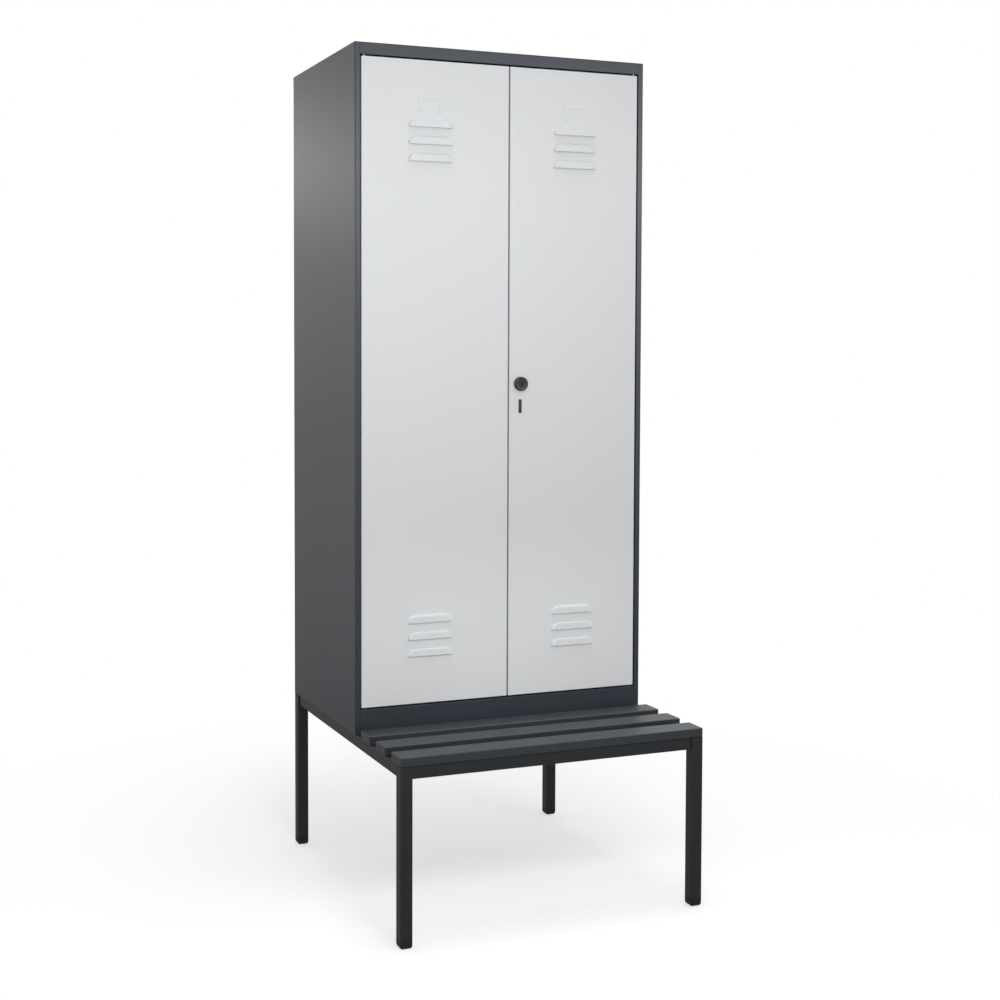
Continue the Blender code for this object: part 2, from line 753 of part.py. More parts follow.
def on_door_face(edge):
    """True on the outer edges of the door's front."""
    return (all(vertex.co.y < FACE_Y + SHEET / 2 for vertex in edge.verts)
            and edge.calc_face_angle(0) > math.radians(SMOOTH_DEG))


def louvre_bottoms():
    """The heights of the louvres' open lower edges."""
    for number in range(LOUVRE_COUNT):
        yield DOOR_HIGH - UPPER_LOUVRE_DROP - LOUVRE_HEIGHT - number * LOUVRE_PITCH
        yield DOOR_LOW + LOWER_LOUVRE_HEIGHT + number * LOUVRE_PITCH


def louvre_line(inset, foot, steps=ARC_STEPS):
    """A louvre's outline, drawn in by an inset, from one lower corner over to the other."""
    half = LOUVRE_WIDTH / 2 - inset
    radii = (LOUVRE_SHOULDER - inset, LOUVRE_HEIGHT - inset)
    middle = half - radii[0]
    over = arc((middle, 0), radii, 0, 90, steps) + arc((-middle, 0), radii, 90, 180, steps)
    return [(half, foot)] + over[1:-1] + [(-half, foot)]


def louvre_windows(x):
    """Cutters for the openings behind the louvres."""
    outline = louvre_line(SHEET / 2, 0, WINDOW_STEPS)
    return gathered(
        extruded(outline, SHEET + 2 * OVERRUN, facing(x, bottom, -OVERRUN))
        for bottom in louvre_bottoms())


def louvre_hoods(x):
    """The pressed-out hoods, open along their lower edges."""
    return gathered(louvre_hood(x, bottom) for bottom in louvre_bottoms())


def louvre_hood(x, bottom):
    """One hood: rings of points that rise from the sheet, with the sheet's thickness inside."""
    shape = bmesh.new()
    foot = -SHEET / 2
    skins = []
    for thickness in (0, SHEET):
        rings = []
        for inset_share, rise_share in zip(LOUVRE_INSET_SHARES, LOUVRE_RISE_SHARES):
            inset = LOUVRE_HEIGHT * inset_share + thickness * (1 - inset_share)
            rise = LOUVRE_RISE * rise_share - thickness * rise_share - SHEET / 2 * (1 - rise_share)
            rings.append([shape.verts.new((across, up, -rise))
                          for across, up in louvre_line(inset, foot)])
        skins.append(rings)
    outer, inner = skins
    for rings in skins:
        for low, high in zip(rings, rings[1:]):
            bridge(shape, low, high)
        shape.faces.new(rings[-1])
    bridge(shape, outer[0], inner[0])
    ends = [[ring[end] for ring in rings] for end in (0, -1) for rings in (outer, inner)]
    shape.faces.new(ends[0] + ends[2][::-1] + ends[3] + ends[1][::-1])
    return placed(shape, facing(x, bottom))


def bridge(shape, low, high):
    """Quads between two lines of as many points."""
    for (first, second), (third, fourth) in zip(zip(low, low[1:]), zip(high, high[1:])):
        shape.faces.new((first, second, fourth, third))


def label_holder(x):
    """Two ribs and a bar between them, pressed out of the sheet."""
    top = DOOR_HIGH - LABEL_DROP
    rib_x = (LABEL_WIDTH - LABEL_RIB_WIDTH) / 2
    bar_z = top - LABEL_BAR_DROP - LABEL_BAR_HEIGHT / 2
    bar_width = LABEL_WIDTH - 2 * LABEL_RIB_WIDTH + 2 * LABEL_SLOPE
    for side in (LEFT, RIGHT):
        place = facing(x + side * rib_x, top - LABEL_HEIGHT / 2)
        yield pressed_pad(LABEL_RIB_WIDTH, LABEL_HEIGHT, LABEL_RISE, place)
    yield pressed_pad(bar_width, LABEL_BAR_HEIGHT, LABEL_BAR_RISE, facing(x, bar_z))


def pressed_pad(width, height, rise, place):
    """A low raised field with sloping sides, its foot sunk in the sheet."""
    shape = bmesh.new()
    rings = []
    for inset, depth in ((0, SHEET / 2), (LABEL_SLOPE, -rise)):
        outline = rounded_rectangle(width - inset, height - inset, LABEL_SLOPE / 2, BEND_STEPS)
        ring = [shape.verts.new((across, up, depth)) for across, up in outline]
        rings.append(ring)
    for low, high in zip(rings, rings[1:]):
        bridge(shape, low + low[:1], high + high[:1])
    shape.faces.new(rings[0])
    shape.faces.new(rings[-1])
    return placed(shape, place)


def door_stiffener(name, x, paints, pivot):
    """Top-hat rail up the middle of a door's inside, between its two groups of louvres."""
    near = FACE_Y + SHEET + SEAT_GAP
    far = near + STIFFENER_DEPTH
    bottoms = sorted(louvre_bottoms())
    whole_z = (bottoms[LOUVRE_COUNT - 1] + LOUVRE_HEIGHT + STIFFENER_CLEAR,
               bottoms[LOUVRE_COUNT] - STIFFENER_CLEAR)
    crown = around(x, STIFFENER_WIDTH / 2)
    plates = [plate(crown, (far - SHEET, far), whole_z)]
    for edge, way in ((crown[0], 1), (crown[1], -1)):
        plates.append(plate((edge, edge + way * SHEET), (near, far), whole_z))
        plates.append(plate((edge - way * STIFFENER_FOOT, edge + way * SHEET),
                            (near, near + SHEET), whole_z))
    add_part(name, folded(plates), paints["door"], pivot)


def door_bushes(side, paints, pivot):
    """Flanged bushes in a door's lower and upper edge; the lower flange carries the door."""
    lower_flange = DOOR_END_GAP - 2 * SEAT_GAP
    for name, shoulder, body, flange in (
            ("upper_door_bush", DOOR_HIGH + SEAT_GAP, -BUSH_REACH, UPPER_BUSH_FLANGE),
            ("lower_door_bush", DOOR_LOW - SEAT_GAP, BUSH_REACH, -lower_flange)):
        profile = [(BUSH_BORE, shoulder + body), (BUSH_RADIUS, shoulder + body),
                   (BUSH_RADIUS, shoulder), (BUSH_FLANGE_RADIUS, shoulder),
                   (BUSH_FLANGE_RADIUS, shoulder + flange), (BUSH_BORE, shoulder + flange)]
        shape = turned(profile, standing(side * HINGE_X, HINGE_Y))
        add_part(side_name(side, name), shape, paints["nylon"], pivot, smooth=True)


def left_door(paints):
    """Left door; its edge has a slot that takes the lock's tongue."""
    pivot = add_pivot("left_door_hinge", (-HINGE_X, HINGE_Y, 0))
    door_shell("left_door", LEFT_DOOR_X, [tongue_slot(LEFT_DOOR_X[1])], paints, pivot)
    door_stiffener("left_door_stiffener", LEFT * LOUVRE_X, paints, pivot)
    door_bushes(LEFT, paints, pivot)


def right_door(paints):
    """Right door, with holes for the lock, the plug, the rods and the tongue."""
    pivot = add_pivot("right_door_hinge", (HINGE_X, HINGE_Y, 0))
    slots = [tongue_slot(RIGHT_DOOR_X[0]), rod_slot(LEFT, DOOR_HIGH), rod_slot(RIGHT, DOOR_LOW)]
    part = door_shell("right_door", RIGHT_DOOR_X, slots, paints, pivot)
    carve(part, cylinder(SLEEVE_RADIUS + HOLE_GAP, -OVERRUN, SHEET + OVERRUN,
                         facing(KNOB_X, KNOB_Z), FINE_STEPS))
    carve(part, extruded(plug_outline(PLUG_RIM / 2), SHEET + 2 * OVERRUN,
                         facing(KNOB_X, KNOB_Z - PLUG_DROP, -OVERRUN)))
    door_stiffener("right_door_stiffener", RIGHT * LOUVRE_X, paints, pivot)
    door_bushes(RIGHT, paints, pivot)
    return pivot


def tongue_slot(edge_x):
    """Slot in a door's edge flange that clears the turning tongue."""
    reach = max(edge_x - SHEET - KNOB_X, KNOB_X - edge_x - SHEET)
    swing = math.sqrt(TONGUE_LENGTH ** 2 - reach ** 2) + TONGUE_WIDTH / 2
    return plate(around(edge_x, SHEET + SEAT_GAP),
                 (FACE_Y + CAM_DEPTH - TONGUE_CLEAR, FACE_Y + CAM_BACK + TONGUE_CLEAR),
                 (KNOB_Z - swing - TONGUE_CLEAR, KNOB_Z + TONGUE_WIDTH / 2 + TONGUE_CLEAR))


def rod_x(side):
    """The upper rod stands left of the knob's axis and the lower rod right of it."""
    return KNOB_X + side * ROD_OFFSET


def rod_slot(side, edge_z):
    """Slot in a door's end flange for a rod."""
    return plate(around(rod_x(side), ROD_WIDTH / 2 + ROD_CLEAR),
                 (FACE_Y + ROD_DEPTH - ROD_CLEAR, FACE_Y + ROD_DEPTH + ROD_THICKNESS + ROD_CLEAR),
                 around(edge_z, SHEET + SEAT_GAP))


# Lock

def plug_outline(inset):
    """A slot shape with round ends, drawn in by an inset."""
    width = PLUG_WIDTH - 2 * inset
    return rounded_rectangle(width, PLUG_LENGTH - 2 * inset, width / 2 - SEAT_GAP)


def slot_plug(paints, pivot):
    """Plug whose rim covers the slot under the knob."""
    z = KNOB_Z - PLUG_DROP
    rim = extruded(plug_outline(0), PLUG_THICKNESS, facing(KNOB_X, z, -PLUG_THICKNESS - SEAT_GAP))
    part = add_part("slot_plug", rim, paints["black"], pivot, smooth=True)
    carve(part, extruded(plug_outline(PLUG_RIM / 2 + HOLE_GAP), PLUG_DEPTH + SEAT_GAP + SHEET / 2,
                         facing(KNOB_X, z, -SEAT_GAP - SHEET / 2)), "UNION")


def lock_body(paints, pivot):
    """Threaded sleeve through the door, its collar under the knob, and the nut behind."""
    bore = SPINDLE_RADIUS + TURN_GAP
    collar = -SEAT_GAP
    profile = [(bore, collar - COLLAR_HEIGHT), (COLLAR_RADIUS, collar - COLLAR_HEIGHT),
               (COLLAR_RADIUS, collar), (SLEEVE_RADIUS, collar), (SLEEVE_RADIUS, SLEEVE_END),
               (bore, SLEEVE_END)]
    add_part("lock_body", turned(profile, facing(KNOB_X, KNOB_Z), FINE_STEPS), paints["steel"],
             pivot, smooth=True)
    hole = circle(SLEEVE_RADIUS + HOLE_GAP, FINE_STEPS)
    nut = extruded(hexagon(NUT_FLATS), NUT_HEIGHT, facing(KNOB_X, KNOB_Z, SHEET + SEAT_GAP), [hole])
    add_part("lock_nut", nut, paints["steel"], pivot)


def lock_knob(paints, pivot):
    """Round knob with its spindle; the spindle's square end drives the cam."""
    base = -KNOB_DOOR_GAP
    under = -SEAT_GAP - COLLAR_HEIGHT - SEAT_GAP
    bore = CYLINDER_RADIUS + TURN_GAP
    seat = -KNOB_FRONT + CYLINDER_RECESS + CYLINDER_LENGTH + SEAT_GAP
    crown = arc((KNOB_RADIUS - KNOB_ROUND, -KNOB_FRONT + KNOB_ROUND), (KNOB_ROUND, KNOB_ROUND),
                0, -90)
    shoulder = CAM_DEPTH - SEAT_GAP
    profile = ([(0, seat), (bore, seat), (bore, -KNOB_FRONT)] + crown[::-1]
               + [(KNOB_RADIUS, base), (COLLAR_RADIUS + HOLE_GAP, base),
                  (COLLAR_RADIUS + HOLE_GAP, under), (SPINDLE_RADIUS, under),
                  (SPINDLE_RADIUS, shoulder), (0, shoulder)])
    part = add_part("lock_knob", turned(profile, facing(KNOB_X, KNOB_Z), FINE_STEPS),
                    paints["black"], pivot, smooth=True)
    square = rounded_rectangle(CAM_SQUARE, CAM_SQUARE, SEAT_GAP, CHAMFER_STEPS)
    carve(part, extruded(square, CAM_THICKNESS + OVERRUN,
                         facing(KNOB_X, KNOB_Z, shoulder - OVERRUN + SEAT_GAP)), "UNION")
    hole = CAM_SCREW_RADIUS + HOLE_GAP
    carve(part, cylinder(hole, CAM_BACK - CAM_SCREW_LENGTH - SEAT_GAP, CAM_BACK + OVERRUN,
                         facing(KNOB_X, KNOB_Z)))


def lock_cylinder(paints, pivot):
    """Key cylinder in the knob's front, with its keyway."""
    front = -KNOB_FRONT + CYLINDER_RECESS
    shape = cylinder(CYLINDER_RADIUS, front, front + CYLINDER_LENGTH, facing(KNOB_X, KNOB_Z),
                     FINE_STEPS)
    part = add_part("lock_cylinder", shape, paints["steel"], pivot, smooth=True)
    keyway = plate(around(KNOB_X, KEY_SLOT_WIDTH / 2),
                   (FACE_Y + front - OVERRUN, FACE_Y + front + KEY_SLOT_DEPTH),
                   around(KNOB_Z, KEY_SLOT_HEIGHT / 2))
    carve(part, folded([keyway]))


def lock_cam(paints, pivot):
    """Disc with a tongue that points down when open, and a crank pin for each rod."""
    half = TONGUE_WIDTH / 2
    lean = math.degrees(math.asin(half / CAM_RADIUS))
    tip = TONGUE_LENGTH - half
    outline = (arc((0, 0), (CAM_RADIUS, CAM_RADIUS), lean - 90, 270 - lean, FINE_STEPS)
               + arc((0, -tip), (half, half), 180, 360, 2 * ARC_STEPS))
    side = CAM_SQUARE + 2 * HOLE_GAP
    hole = rounded_rectangle(side, side, SEAT_GAP, CHAMFER_STEPS)
    shape = extruded(outline, CAM_THICKNESS, facing(KNOB_X, KNOB_Z, CAM_DEPTH), [hole])
    part = add_part("lock_cam", shape, paints["zinc"], pivot, smooth=True)
    pin_end = ROD_DEPTH + ROD_THICKNESS + SEAT_GAP
    pin_x = CRANK_RADIUS * math.cos(CRANK_START)
    pins = gathered(
        cylinder(CRANK_PIN_RADIUS, CAM_BACK - CAM_THICKNESS / 2, pin_end,
                 facing(KNOB_X + way * pin_x, KNOB_Z + way * CRANK_DROP)) for way in (LEFT, RIGHT))
    carve(part, pins, "UNION")


def cam_screw(paints, pivot):
    """Screw that holds the cam on the spindle."""
    head = CAM_BACK + SEAT_GAP
    end = CAM_BACK - CAM_SCREW_LENGTH
    profile = [(0, end), (CAM_SCREW_RADIUS, end), (CAM_SCREW_RADIUS, head),
               (CAM_SCREW_HEAD_RADIUS, head), (CAM_SCREW_HEAD_RADIUS, head + CAM_SCREW_HEAD),
               (0, head + CAM_SCREW_HEAD)]
    add_part("cam_screw", turned(profile, facing(KNOB_X, KNOB_Z)), paints["zinc"], pivot,
             smooth=True)


def lock_rod(name, side, paints, pivot):
    """Flat rod with a cross slot for its crank pin."""
    slot_z = KNOB_Z + side * CRANK_DROP
    tail = slot_z + side * ROD_TAIL
    tip = DOOR_HIGH - ROD_SHORT if side == LEFT else DOOR_LOW + ROD_SHORT
    rod_y = (FACE_Y + ROD_DEPTH, FACE_Y + ROD_DEPTH + ROD_THICKNESS)
    half_slot = (CRANK_RADIUS * (1 - math.cos(CRANK_START)) / 2 + CRANK_PIN_RADIUS + ROD_CLEAR,
                 CRANK_PIN_RADIUS + ROD_SLOT_PLAY)
    slot = plate(around(rod_x(side), half_slot[0]),
                 (rod_y[0] - OVERRUN, rod_y[1] + OVERRUN), around(slot_z, half_slot[1]))
    shape = folded([plate(around(rod_x(side), ROD_WIDTH / 2), rod_y, (tail, tip))], [slot])
    add_part(name, shape, paints["zinc"], pivot)


def rod_guides(paints, pivot):
    """Plastic guides on the inside of the door, one for each rod."""
    near = FACE_Y + ROD_DEPTH - ROD_CLEAR
    far = FACE_Y + ROD_DEPTH + ROD_THICKNESS + ROD_CLEAR
    for name, side, edge in (("upper_rod_guide", LEFT, DOOR_HIGH),
                             ("lower_rod_guide", RIGHT, DOOR_LOW)):
        z = around(edge + (KNOB_Z - edge) * GUIDE_SHARE, GUIDE_HEIGHT / 2)
        block = plate(around(rod_x(side), GUIDE_WIDTH / 2),
                      (FACE_Y + SHEET + SEAT_GAP, far + GUIDE_WALL), z)
        way = plate(around(rod_x(side), ROD_WIDTH / 2 + ROD_CLEAR), (near, far),
                    (z[0] - OVERRUN, z[1] + OVERRUN))
        add_part(name, folded([block], [way]), paints["nylon"], pivot)


def lock(door_pivot, paints):
    """Everything that locks the doors."""
    lock_body(paints, door_pivot)
    slot_plug(paints, door_pivot)
    rod_guides(paints, door_pivot)
    knob_pivot = add_pivot("lock_knob_axis", (KNOB_X, FACE_Y, KNOB_Z), door_pivot)
    lock_knob(paints, knob_pivot)
    lock_cam(paints, knob_pivot)
    cam_screw(paints, knob_pivot)
    key_pivot = add_pivot("lock_cylinder_axis", (KNOB_X, FACE_Y - KNOB_FRONT, KNOB_Z), knob_pivot)
    lock_cylinder(paints, key_pivot)
    for name, side in (("upper_lock_rod", LEFT), ("lower_lock_rod", RIGHT)):
        place = (rod_x(side), FACE_Y + ROD_DEPTH, KNOB_Z)
        lock_rod(name, side, paints, add_pivot(name + "_slide", place, door_pivot))


# Bench frame

def square_tube(size, wall, length, place, round_size=TUBE_ROUND):
    """Tube with round corners, given as (width, depth), along the local Z axis."""
    outer = rounded_rectangle(size[0], size[1], round_size, BEND_STEPS)
    inner = rounded_rectangle(size[0] - 2 * wall, size[1] - 2 * wall,
                              max(round_size - wall, SEAT_GAP), BEND_STEPS)
    return extruded(outer, length, place, [inner])


def leg_places():
    """Name, x and y of each leg's centre."""
    for side in (LEFT, RIGHT):
        x = side * (HALF_WIDTH - LEG_SIZE / 2)
        yield side_name(side, "front"), x, BENCH_Y + LEG_SIZE / 2
        yield side_name(side, "rear"), x, REAR_Y - LEG_SIZE / 2


def legs(paints):
    """Four square tubes and the plastic caps that they stand on."""
    for name, x, y in leg_places():
        low = CAP_HEIGHT + SEAT_GAP
        tube = square_tube((LEG_SIZE, LEG_SIZE), LEG_WALL, TUBE_TOP - low, standing(x, y, low))
        add_part(name + "_leg", tube, paints["frame"], smooth=True)
        add_part(name + "_foot_cap", foot_cap(x, y), paints["rubber"], smooth=True)


def foot_cap(x, y):
    """Cap that narrows to its sole in a quarter circle, with a plug up into the leg."""
    shape = bmesh.new()
    plug = LEG_SIZE - 2 * LEG_WALL - 2 * SEAT_GAP
    narrowing = arc((CAP_SOLE, CAP_SHOULDER), (LEG_SIZE - CAP_SOLE, CAP_SHOULDER), -90, 0)
    steps = narrowing + [(LEG_SIZE, CAP_HEIGHT), (plug, CAP_HEIGHT), (plug, CAP_HEIGHT + CAP_SPIGOT)]
    rings = []
    for size, z in steps:
        radius = TUBE_ROUND * size / LEG_SIZE
        outline = rounded_rectangle(size, size, radius, BEND_STEPS)
        rings.append([shape.verts.new((across, up, z)) for across, up in outline])
    for low, high in zip(rings, rings[1:]):
        bridge(shape, low + low[:1], high + high[:1])
    shape.faces.new(rings[0])
    shape.faces.new(rings[-1])
    return placed(shape, standing(x, y))


def rails(paints):
    """Rails of flat tube between the legs, and one more under the cabinet's front."""
    inset = RAIL_INSET + RAIL_WIDTH / 2
    size = (RAIL_WIDTH, RAIL_HEIGHT)
    z = TUBE_TOP - RAIL_HEIGHT / 2
    start = BENCH_Y + LEG_SIZE + SEAT_GAP
    length = TOTAL_DEPTH - 2 * (LEG_SIZE + SEAT_GAP)
    for side in (LEFT, RIGHT):
        x = side * (HALF_WIDTH - inset)
        tube = square_tube(size, RAIL_WALL, length, lay((x, start, z), -X_WAY, Z_WAY, Y_WAY))
        part = add_part(side_name(side, "side_rail"), tube, paints["frame"], smooth=True)
        carve(part, slat_holes(side, z - RAIL_HEIGHT, FRAME_TOP + OVERRUN))
    between_legs = HALF_WIDTH - LEG_SIZE - SEAT_GAP
    between_rails = HALF_WIDTH - RAIL_INSET - RAIL_WIDTH - SEAT_GAP
    cross_rail("front_rail", BENCH_Y + inset, between_legs, paints)
    for name, y, half in (("rear_rail", REAR_Y - inset, between_legs),
                          ("middle_rail", FACE_Y + RAIL_WIDTH / 2, between_rails)):
        part = cross_rail(name, y, half, paints)
        carve(part, bolt_holes(z - RAIL_HEIGHT, FRAME_TOP))


def cross_rail(name, y, half, paints):
    """One rail from side to side."""
    place = lay((-half, y, TUBE_TOP - RAIL_HEIGHT / 2), Y_WAY, Z_WAY, X_WAY)
    tube = square_tube((RAIL_WIDTH, RAIL_HEIGHT), RAIL_WALL, 2 * half, place)
    return add_part(name, tube, paints["frame"], smooth=True)


def bolt_places():
    """The bolts that hold the cabinet on the middle and the rear rail."""
    rows = (FACE_Y + RAIL_WIDTH / 2, REAR_Y - RAIL_INSET - RAIL_WIDTH / 2)
    return list(itertools.product(around(0, HALF_WIDTH - BOLT_INSET), rows))


def bolt_holes(bottom, top):
    """Cutters for the bolts through what lies between two heights."""
    return gathered(
        cylinder(BOLT_RADIUS + HOLE_GAP, bottom - OVERRUN, top + OVERRUN, standing(x, y))
        for x, y in bolt_places())


def cabinet_bolts(paints):
    """Bolts from below the frame, up into the weld nuts in the plinth."""
    head_top = TUBE_TOP - RAIL_HEIGHT - SEAT_GAP
    head_low = head_top - BOLT_HEAD_HEIGHT
    end = FRAME_TOP + SHEET + BOLT_NUT_HEIGHT + BOLT_END
    names = ("left_front", "left_rear", "right_front", "right_rear")
    for name, place in zip(names, bolt_places()):
        head = extruded(hexagon(BOLT_HEAD_FLATS), BOLT_HEAD_HEIGHT, standing(*place, head_low))
        bolt = add_part(name + "_cabinet_bolt", head, paints["zinc"])
        carve(bolt, cylinder(BOLT_RADIUS, (head_low + head_top) / 2, end, standing(*place)),
              "UNION")


# Seat

def slat_rear(number):
    """The rear edge of a slat; they share the bench's depth evenly, the front one at its edge."""
    return BENCH_Y + SLAT_DEPTH + number * BENCH_REACH / SLAT_COUNT


def slat_screw_places(side):
    """The screws through one side rail, one for each slat."""
    x = side * (HALF_WIDTH - RAIL_INSET - RAIL_WIDTH / 2)
    return [(x, slat_rear(number) - SCREW_INSET) for number in range(SLAT_COUNT)]


def slat_holes(side, bottom, top):
    """Cutters for one side's slat screws."""
    return gathered(cylinder(SCREW_RADIUS + HOLE_GAP, bottom, top, standing(x, y))
                    for x, y in slat_screw_places(side))


def bench_slats(paints):
    """Slats across the side rails, round along their edges and at their corners."""
    for number, name in enumerate(("front", "middle", "rear")):
        rear = slat_rear(number)
        shape = bar((-HALF_WIDTH, HALF_WIDTH), (rear - SLAT_DEPTH, rear), (FRAME_TOP, SEAT_TOP),
                    SLAT_CORNER, ARC_STEPS, lambda edge: runs_along(edge, 2))
        round_edges(shape, on_slat_rim, SLAT_ROUND, ARC_STEPS)
        part = add_part(name + "_bench_slat", shape, paints["slat"], smooth=True)
        top = FRAME_TOP + SCREW_BITE + SEAT_GAP
        for side in (LEFT, RIGHT):
            x, y = slat_screw_places(side)[number]
            carve(part, cylinder(SCREW_RADIUS + HOLE_GAP, FRAME_TOP - OVERRUN, top, standing(x, y)))


def on_slat_rim(edge):
    """True on the edges round a slat's top and underside."""
    return (edge.calc_face_angle(0) > math.radians(SMOOTH_DEG)
            and not runs_along(edge, 2))


def make_paints():
    """The finishes, one for each kind of piece."""
    return {
        "body": paint("anthracite powder coat", (0.034, 0.037, 0.045), 0.40),
        "door": paint("light grey powder coat", (0.580, 0.603, 0.610), 0.42),
        "frame": paint("black grey powder coat", (0.018, 0.021, 0.024), 0.42),
        "slat": paint("dark grey plastic", (0.024, 0.027, 0.031), 0.45),
        "black": paint("black plastic", (0.012, 0.012, 0.013), 0.35),
        "nylon": paint("black nylon", (0.013, 0.014, 0.014), 0.5),
        "rubber": paint("black rubber", (0.015, 0.015, 0.015), 0.8),
        "steel": paint("nickel plated steel", (0.550, 0.540, 0.520), 0.25, 1.0),
        "zinc": paint("zinc plated steel", (0.520, 0.530, 0.540), 0.35, 1.0),
        "chrome": paint("chromed steel tube", (0.600, 0.600, 0.600), 0.12, 1.0),
    }


def main():
    """Clear the scene and build the locker."""
    for item in list(bpy.data.objects):
        bpy.data.objects.remove(item)
    paints = make_paints()
    for side in (LEFT, RIGHT):
        side_panel(side, paints)
        hat_shelf(side, paints)
        garment_rail(side, paints)
        coat_hooks(side, paints)
        hinge_pins(side, paints)
    top_panel(paints)
    bottom_panel(paints)
    back_panel(paints)
    centre_partition(paints)
    door_buffer_strip(paints)
    left_door(paints)
    lock(right_door(paints), paints)
    legs(paints)
    rails(paints)
    cabinet_bolts(paints)
    bench_slats(paints)


main()
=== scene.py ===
"""Finished looks of the two-door locker with its bench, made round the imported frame."""
import math

import bmesh
import bpy
from mathutils import Matrix, Vector


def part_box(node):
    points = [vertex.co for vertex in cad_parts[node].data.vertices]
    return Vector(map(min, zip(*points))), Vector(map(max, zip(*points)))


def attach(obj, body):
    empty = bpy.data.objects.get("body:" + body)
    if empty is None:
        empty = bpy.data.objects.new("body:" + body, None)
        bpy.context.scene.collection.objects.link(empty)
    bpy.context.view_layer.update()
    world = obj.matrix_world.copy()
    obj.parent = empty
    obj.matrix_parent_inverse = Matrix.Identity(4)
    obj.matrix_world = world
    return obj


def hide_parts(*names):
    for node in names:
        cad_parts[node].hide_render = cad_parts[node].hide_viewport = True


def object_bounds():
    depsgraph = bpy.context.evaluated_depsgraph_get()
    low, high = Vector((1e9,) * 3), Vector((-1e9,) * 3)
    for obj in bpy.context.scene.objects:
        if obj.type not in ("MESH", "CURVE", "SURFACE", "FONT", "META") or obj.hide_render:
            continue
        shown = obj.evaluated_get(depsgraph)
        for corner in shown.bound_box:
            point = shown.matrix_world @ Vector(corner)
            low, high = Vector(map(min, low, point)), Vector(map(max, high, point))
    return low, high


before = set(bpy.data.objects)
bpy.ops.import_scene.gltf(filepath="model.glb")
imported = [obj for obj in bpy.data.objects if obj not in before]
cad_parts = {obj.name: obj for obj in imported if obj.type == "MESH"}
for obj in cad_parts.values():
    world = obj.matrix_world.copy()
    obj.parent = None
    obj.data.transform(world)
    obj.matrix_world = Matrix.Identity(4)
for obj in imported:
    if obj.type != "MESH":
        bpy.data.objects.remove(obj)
CAD_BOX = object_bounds()

bl_info = {
    "name": "Locker with bench",
    "version": (1, 0, 0),
    "blender": (4, 5, 0),
    "location": "View3D > Sidebar > Locker",
    "description": "Makes the finished pieces of a two-door locker on a bench frame",
    "category": "Add Mesh",
}

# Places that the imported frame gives, in metres
FACE_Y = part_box("bottom_panel")[0].y
LEFT_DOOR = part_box("left_door")
RIGHT_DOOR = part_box("right_door")
DOOR_LOW = RIGHT_DOOR[0].z
DOOR_HIGH = RIGHT_DOOR[1].z
KNOB_X = sum(corner.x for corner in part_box("lock_knob")) / 2
KNOB_Z = sum(corner.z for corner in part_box("lock_knob")) / 2
PLUG_Z = sum(corner.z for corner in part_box("slot_plug")) / 2
LEFT = -1
RIGHT = 1
SIDES = ("left", "right")

# A millimetre, how close corners are joined, and how finely curves are drawn
MM = 0.001
JOIN_GAP = 0.00001
FINE_GAP = 0.000001
OVERRUN = 0.002
SMALL_FACE = 0.000001
FLAT_DEG = 1
FOLD_DEG = 30
SHARP_DEG = 32
FOLD_STEPS = 4
CORNER_STEPS = 6
ARC_STEPS = 12
TURN_STEPS = 96
HOLE_STEPS = 48
SCREW_STEPS = 24
FLANGE_STEPS = 40
LOUVRE_STEPS = 20
RISE_STEPS = 9
EDGE_STEPS = 5
KNOB_STEPS = 10
CAP_STEPS = 8
HOOK_STEPS = 4
NORMAL_WEIGHT = 100
FLOOR_SIDES = 64

# Turns that lay a shape drawn upright along X, along Y, or into the cabinet's front
ALONG_X = Matrix(((0, 0, 1), (1, 0, 0), (0, 1, 0))).to_4x4()
ALONG_Y = Matrix(((1, 0, 0), (0, 0, 1), (0, -1, 0))).to_4x4()
INWARDS = Matrix(((1, 0, 0), (0, 0, 1), (0, 1, 0))).to_4x4()

# Sockets of a Mix node that is set to colours
MIX_FACTOR, MIX_FIRST, MIX_SECOND, MIX_RESULT = 0, 6, 7, 2
WHITE = (1.0, 1.0, 1.0, 1.0)


def srgb(code):
    """Linear red, green, blue and alpha of an sRGB hex code."""
    parts = [int(code[start:start + 2], 16) / 255 for start in (0, 2, 4)]
    return (*(part / 12.92 if part <= 0.04045 else ((part + 0.055) / 1.055) ** 2.4
              for part in parts), 1.0)


def millimetres(name, description, size):
    """A size that a user may change, given here in millimetres."""
    return bpy.props.FloatProperty(
        name=name, description=description, default=size * MM, min=0.0, precision=5,
        unit="LENGTH")


def colour(name, description, code):
    """A colour that a user may change, given here as an sRGB hex code."""
    return bpy.props.FloatVectorProperty(
        name=name, description=description, default=srgb(code)[:3], size=3, min=0.0, max=1.0,
        subtype="COLOR")


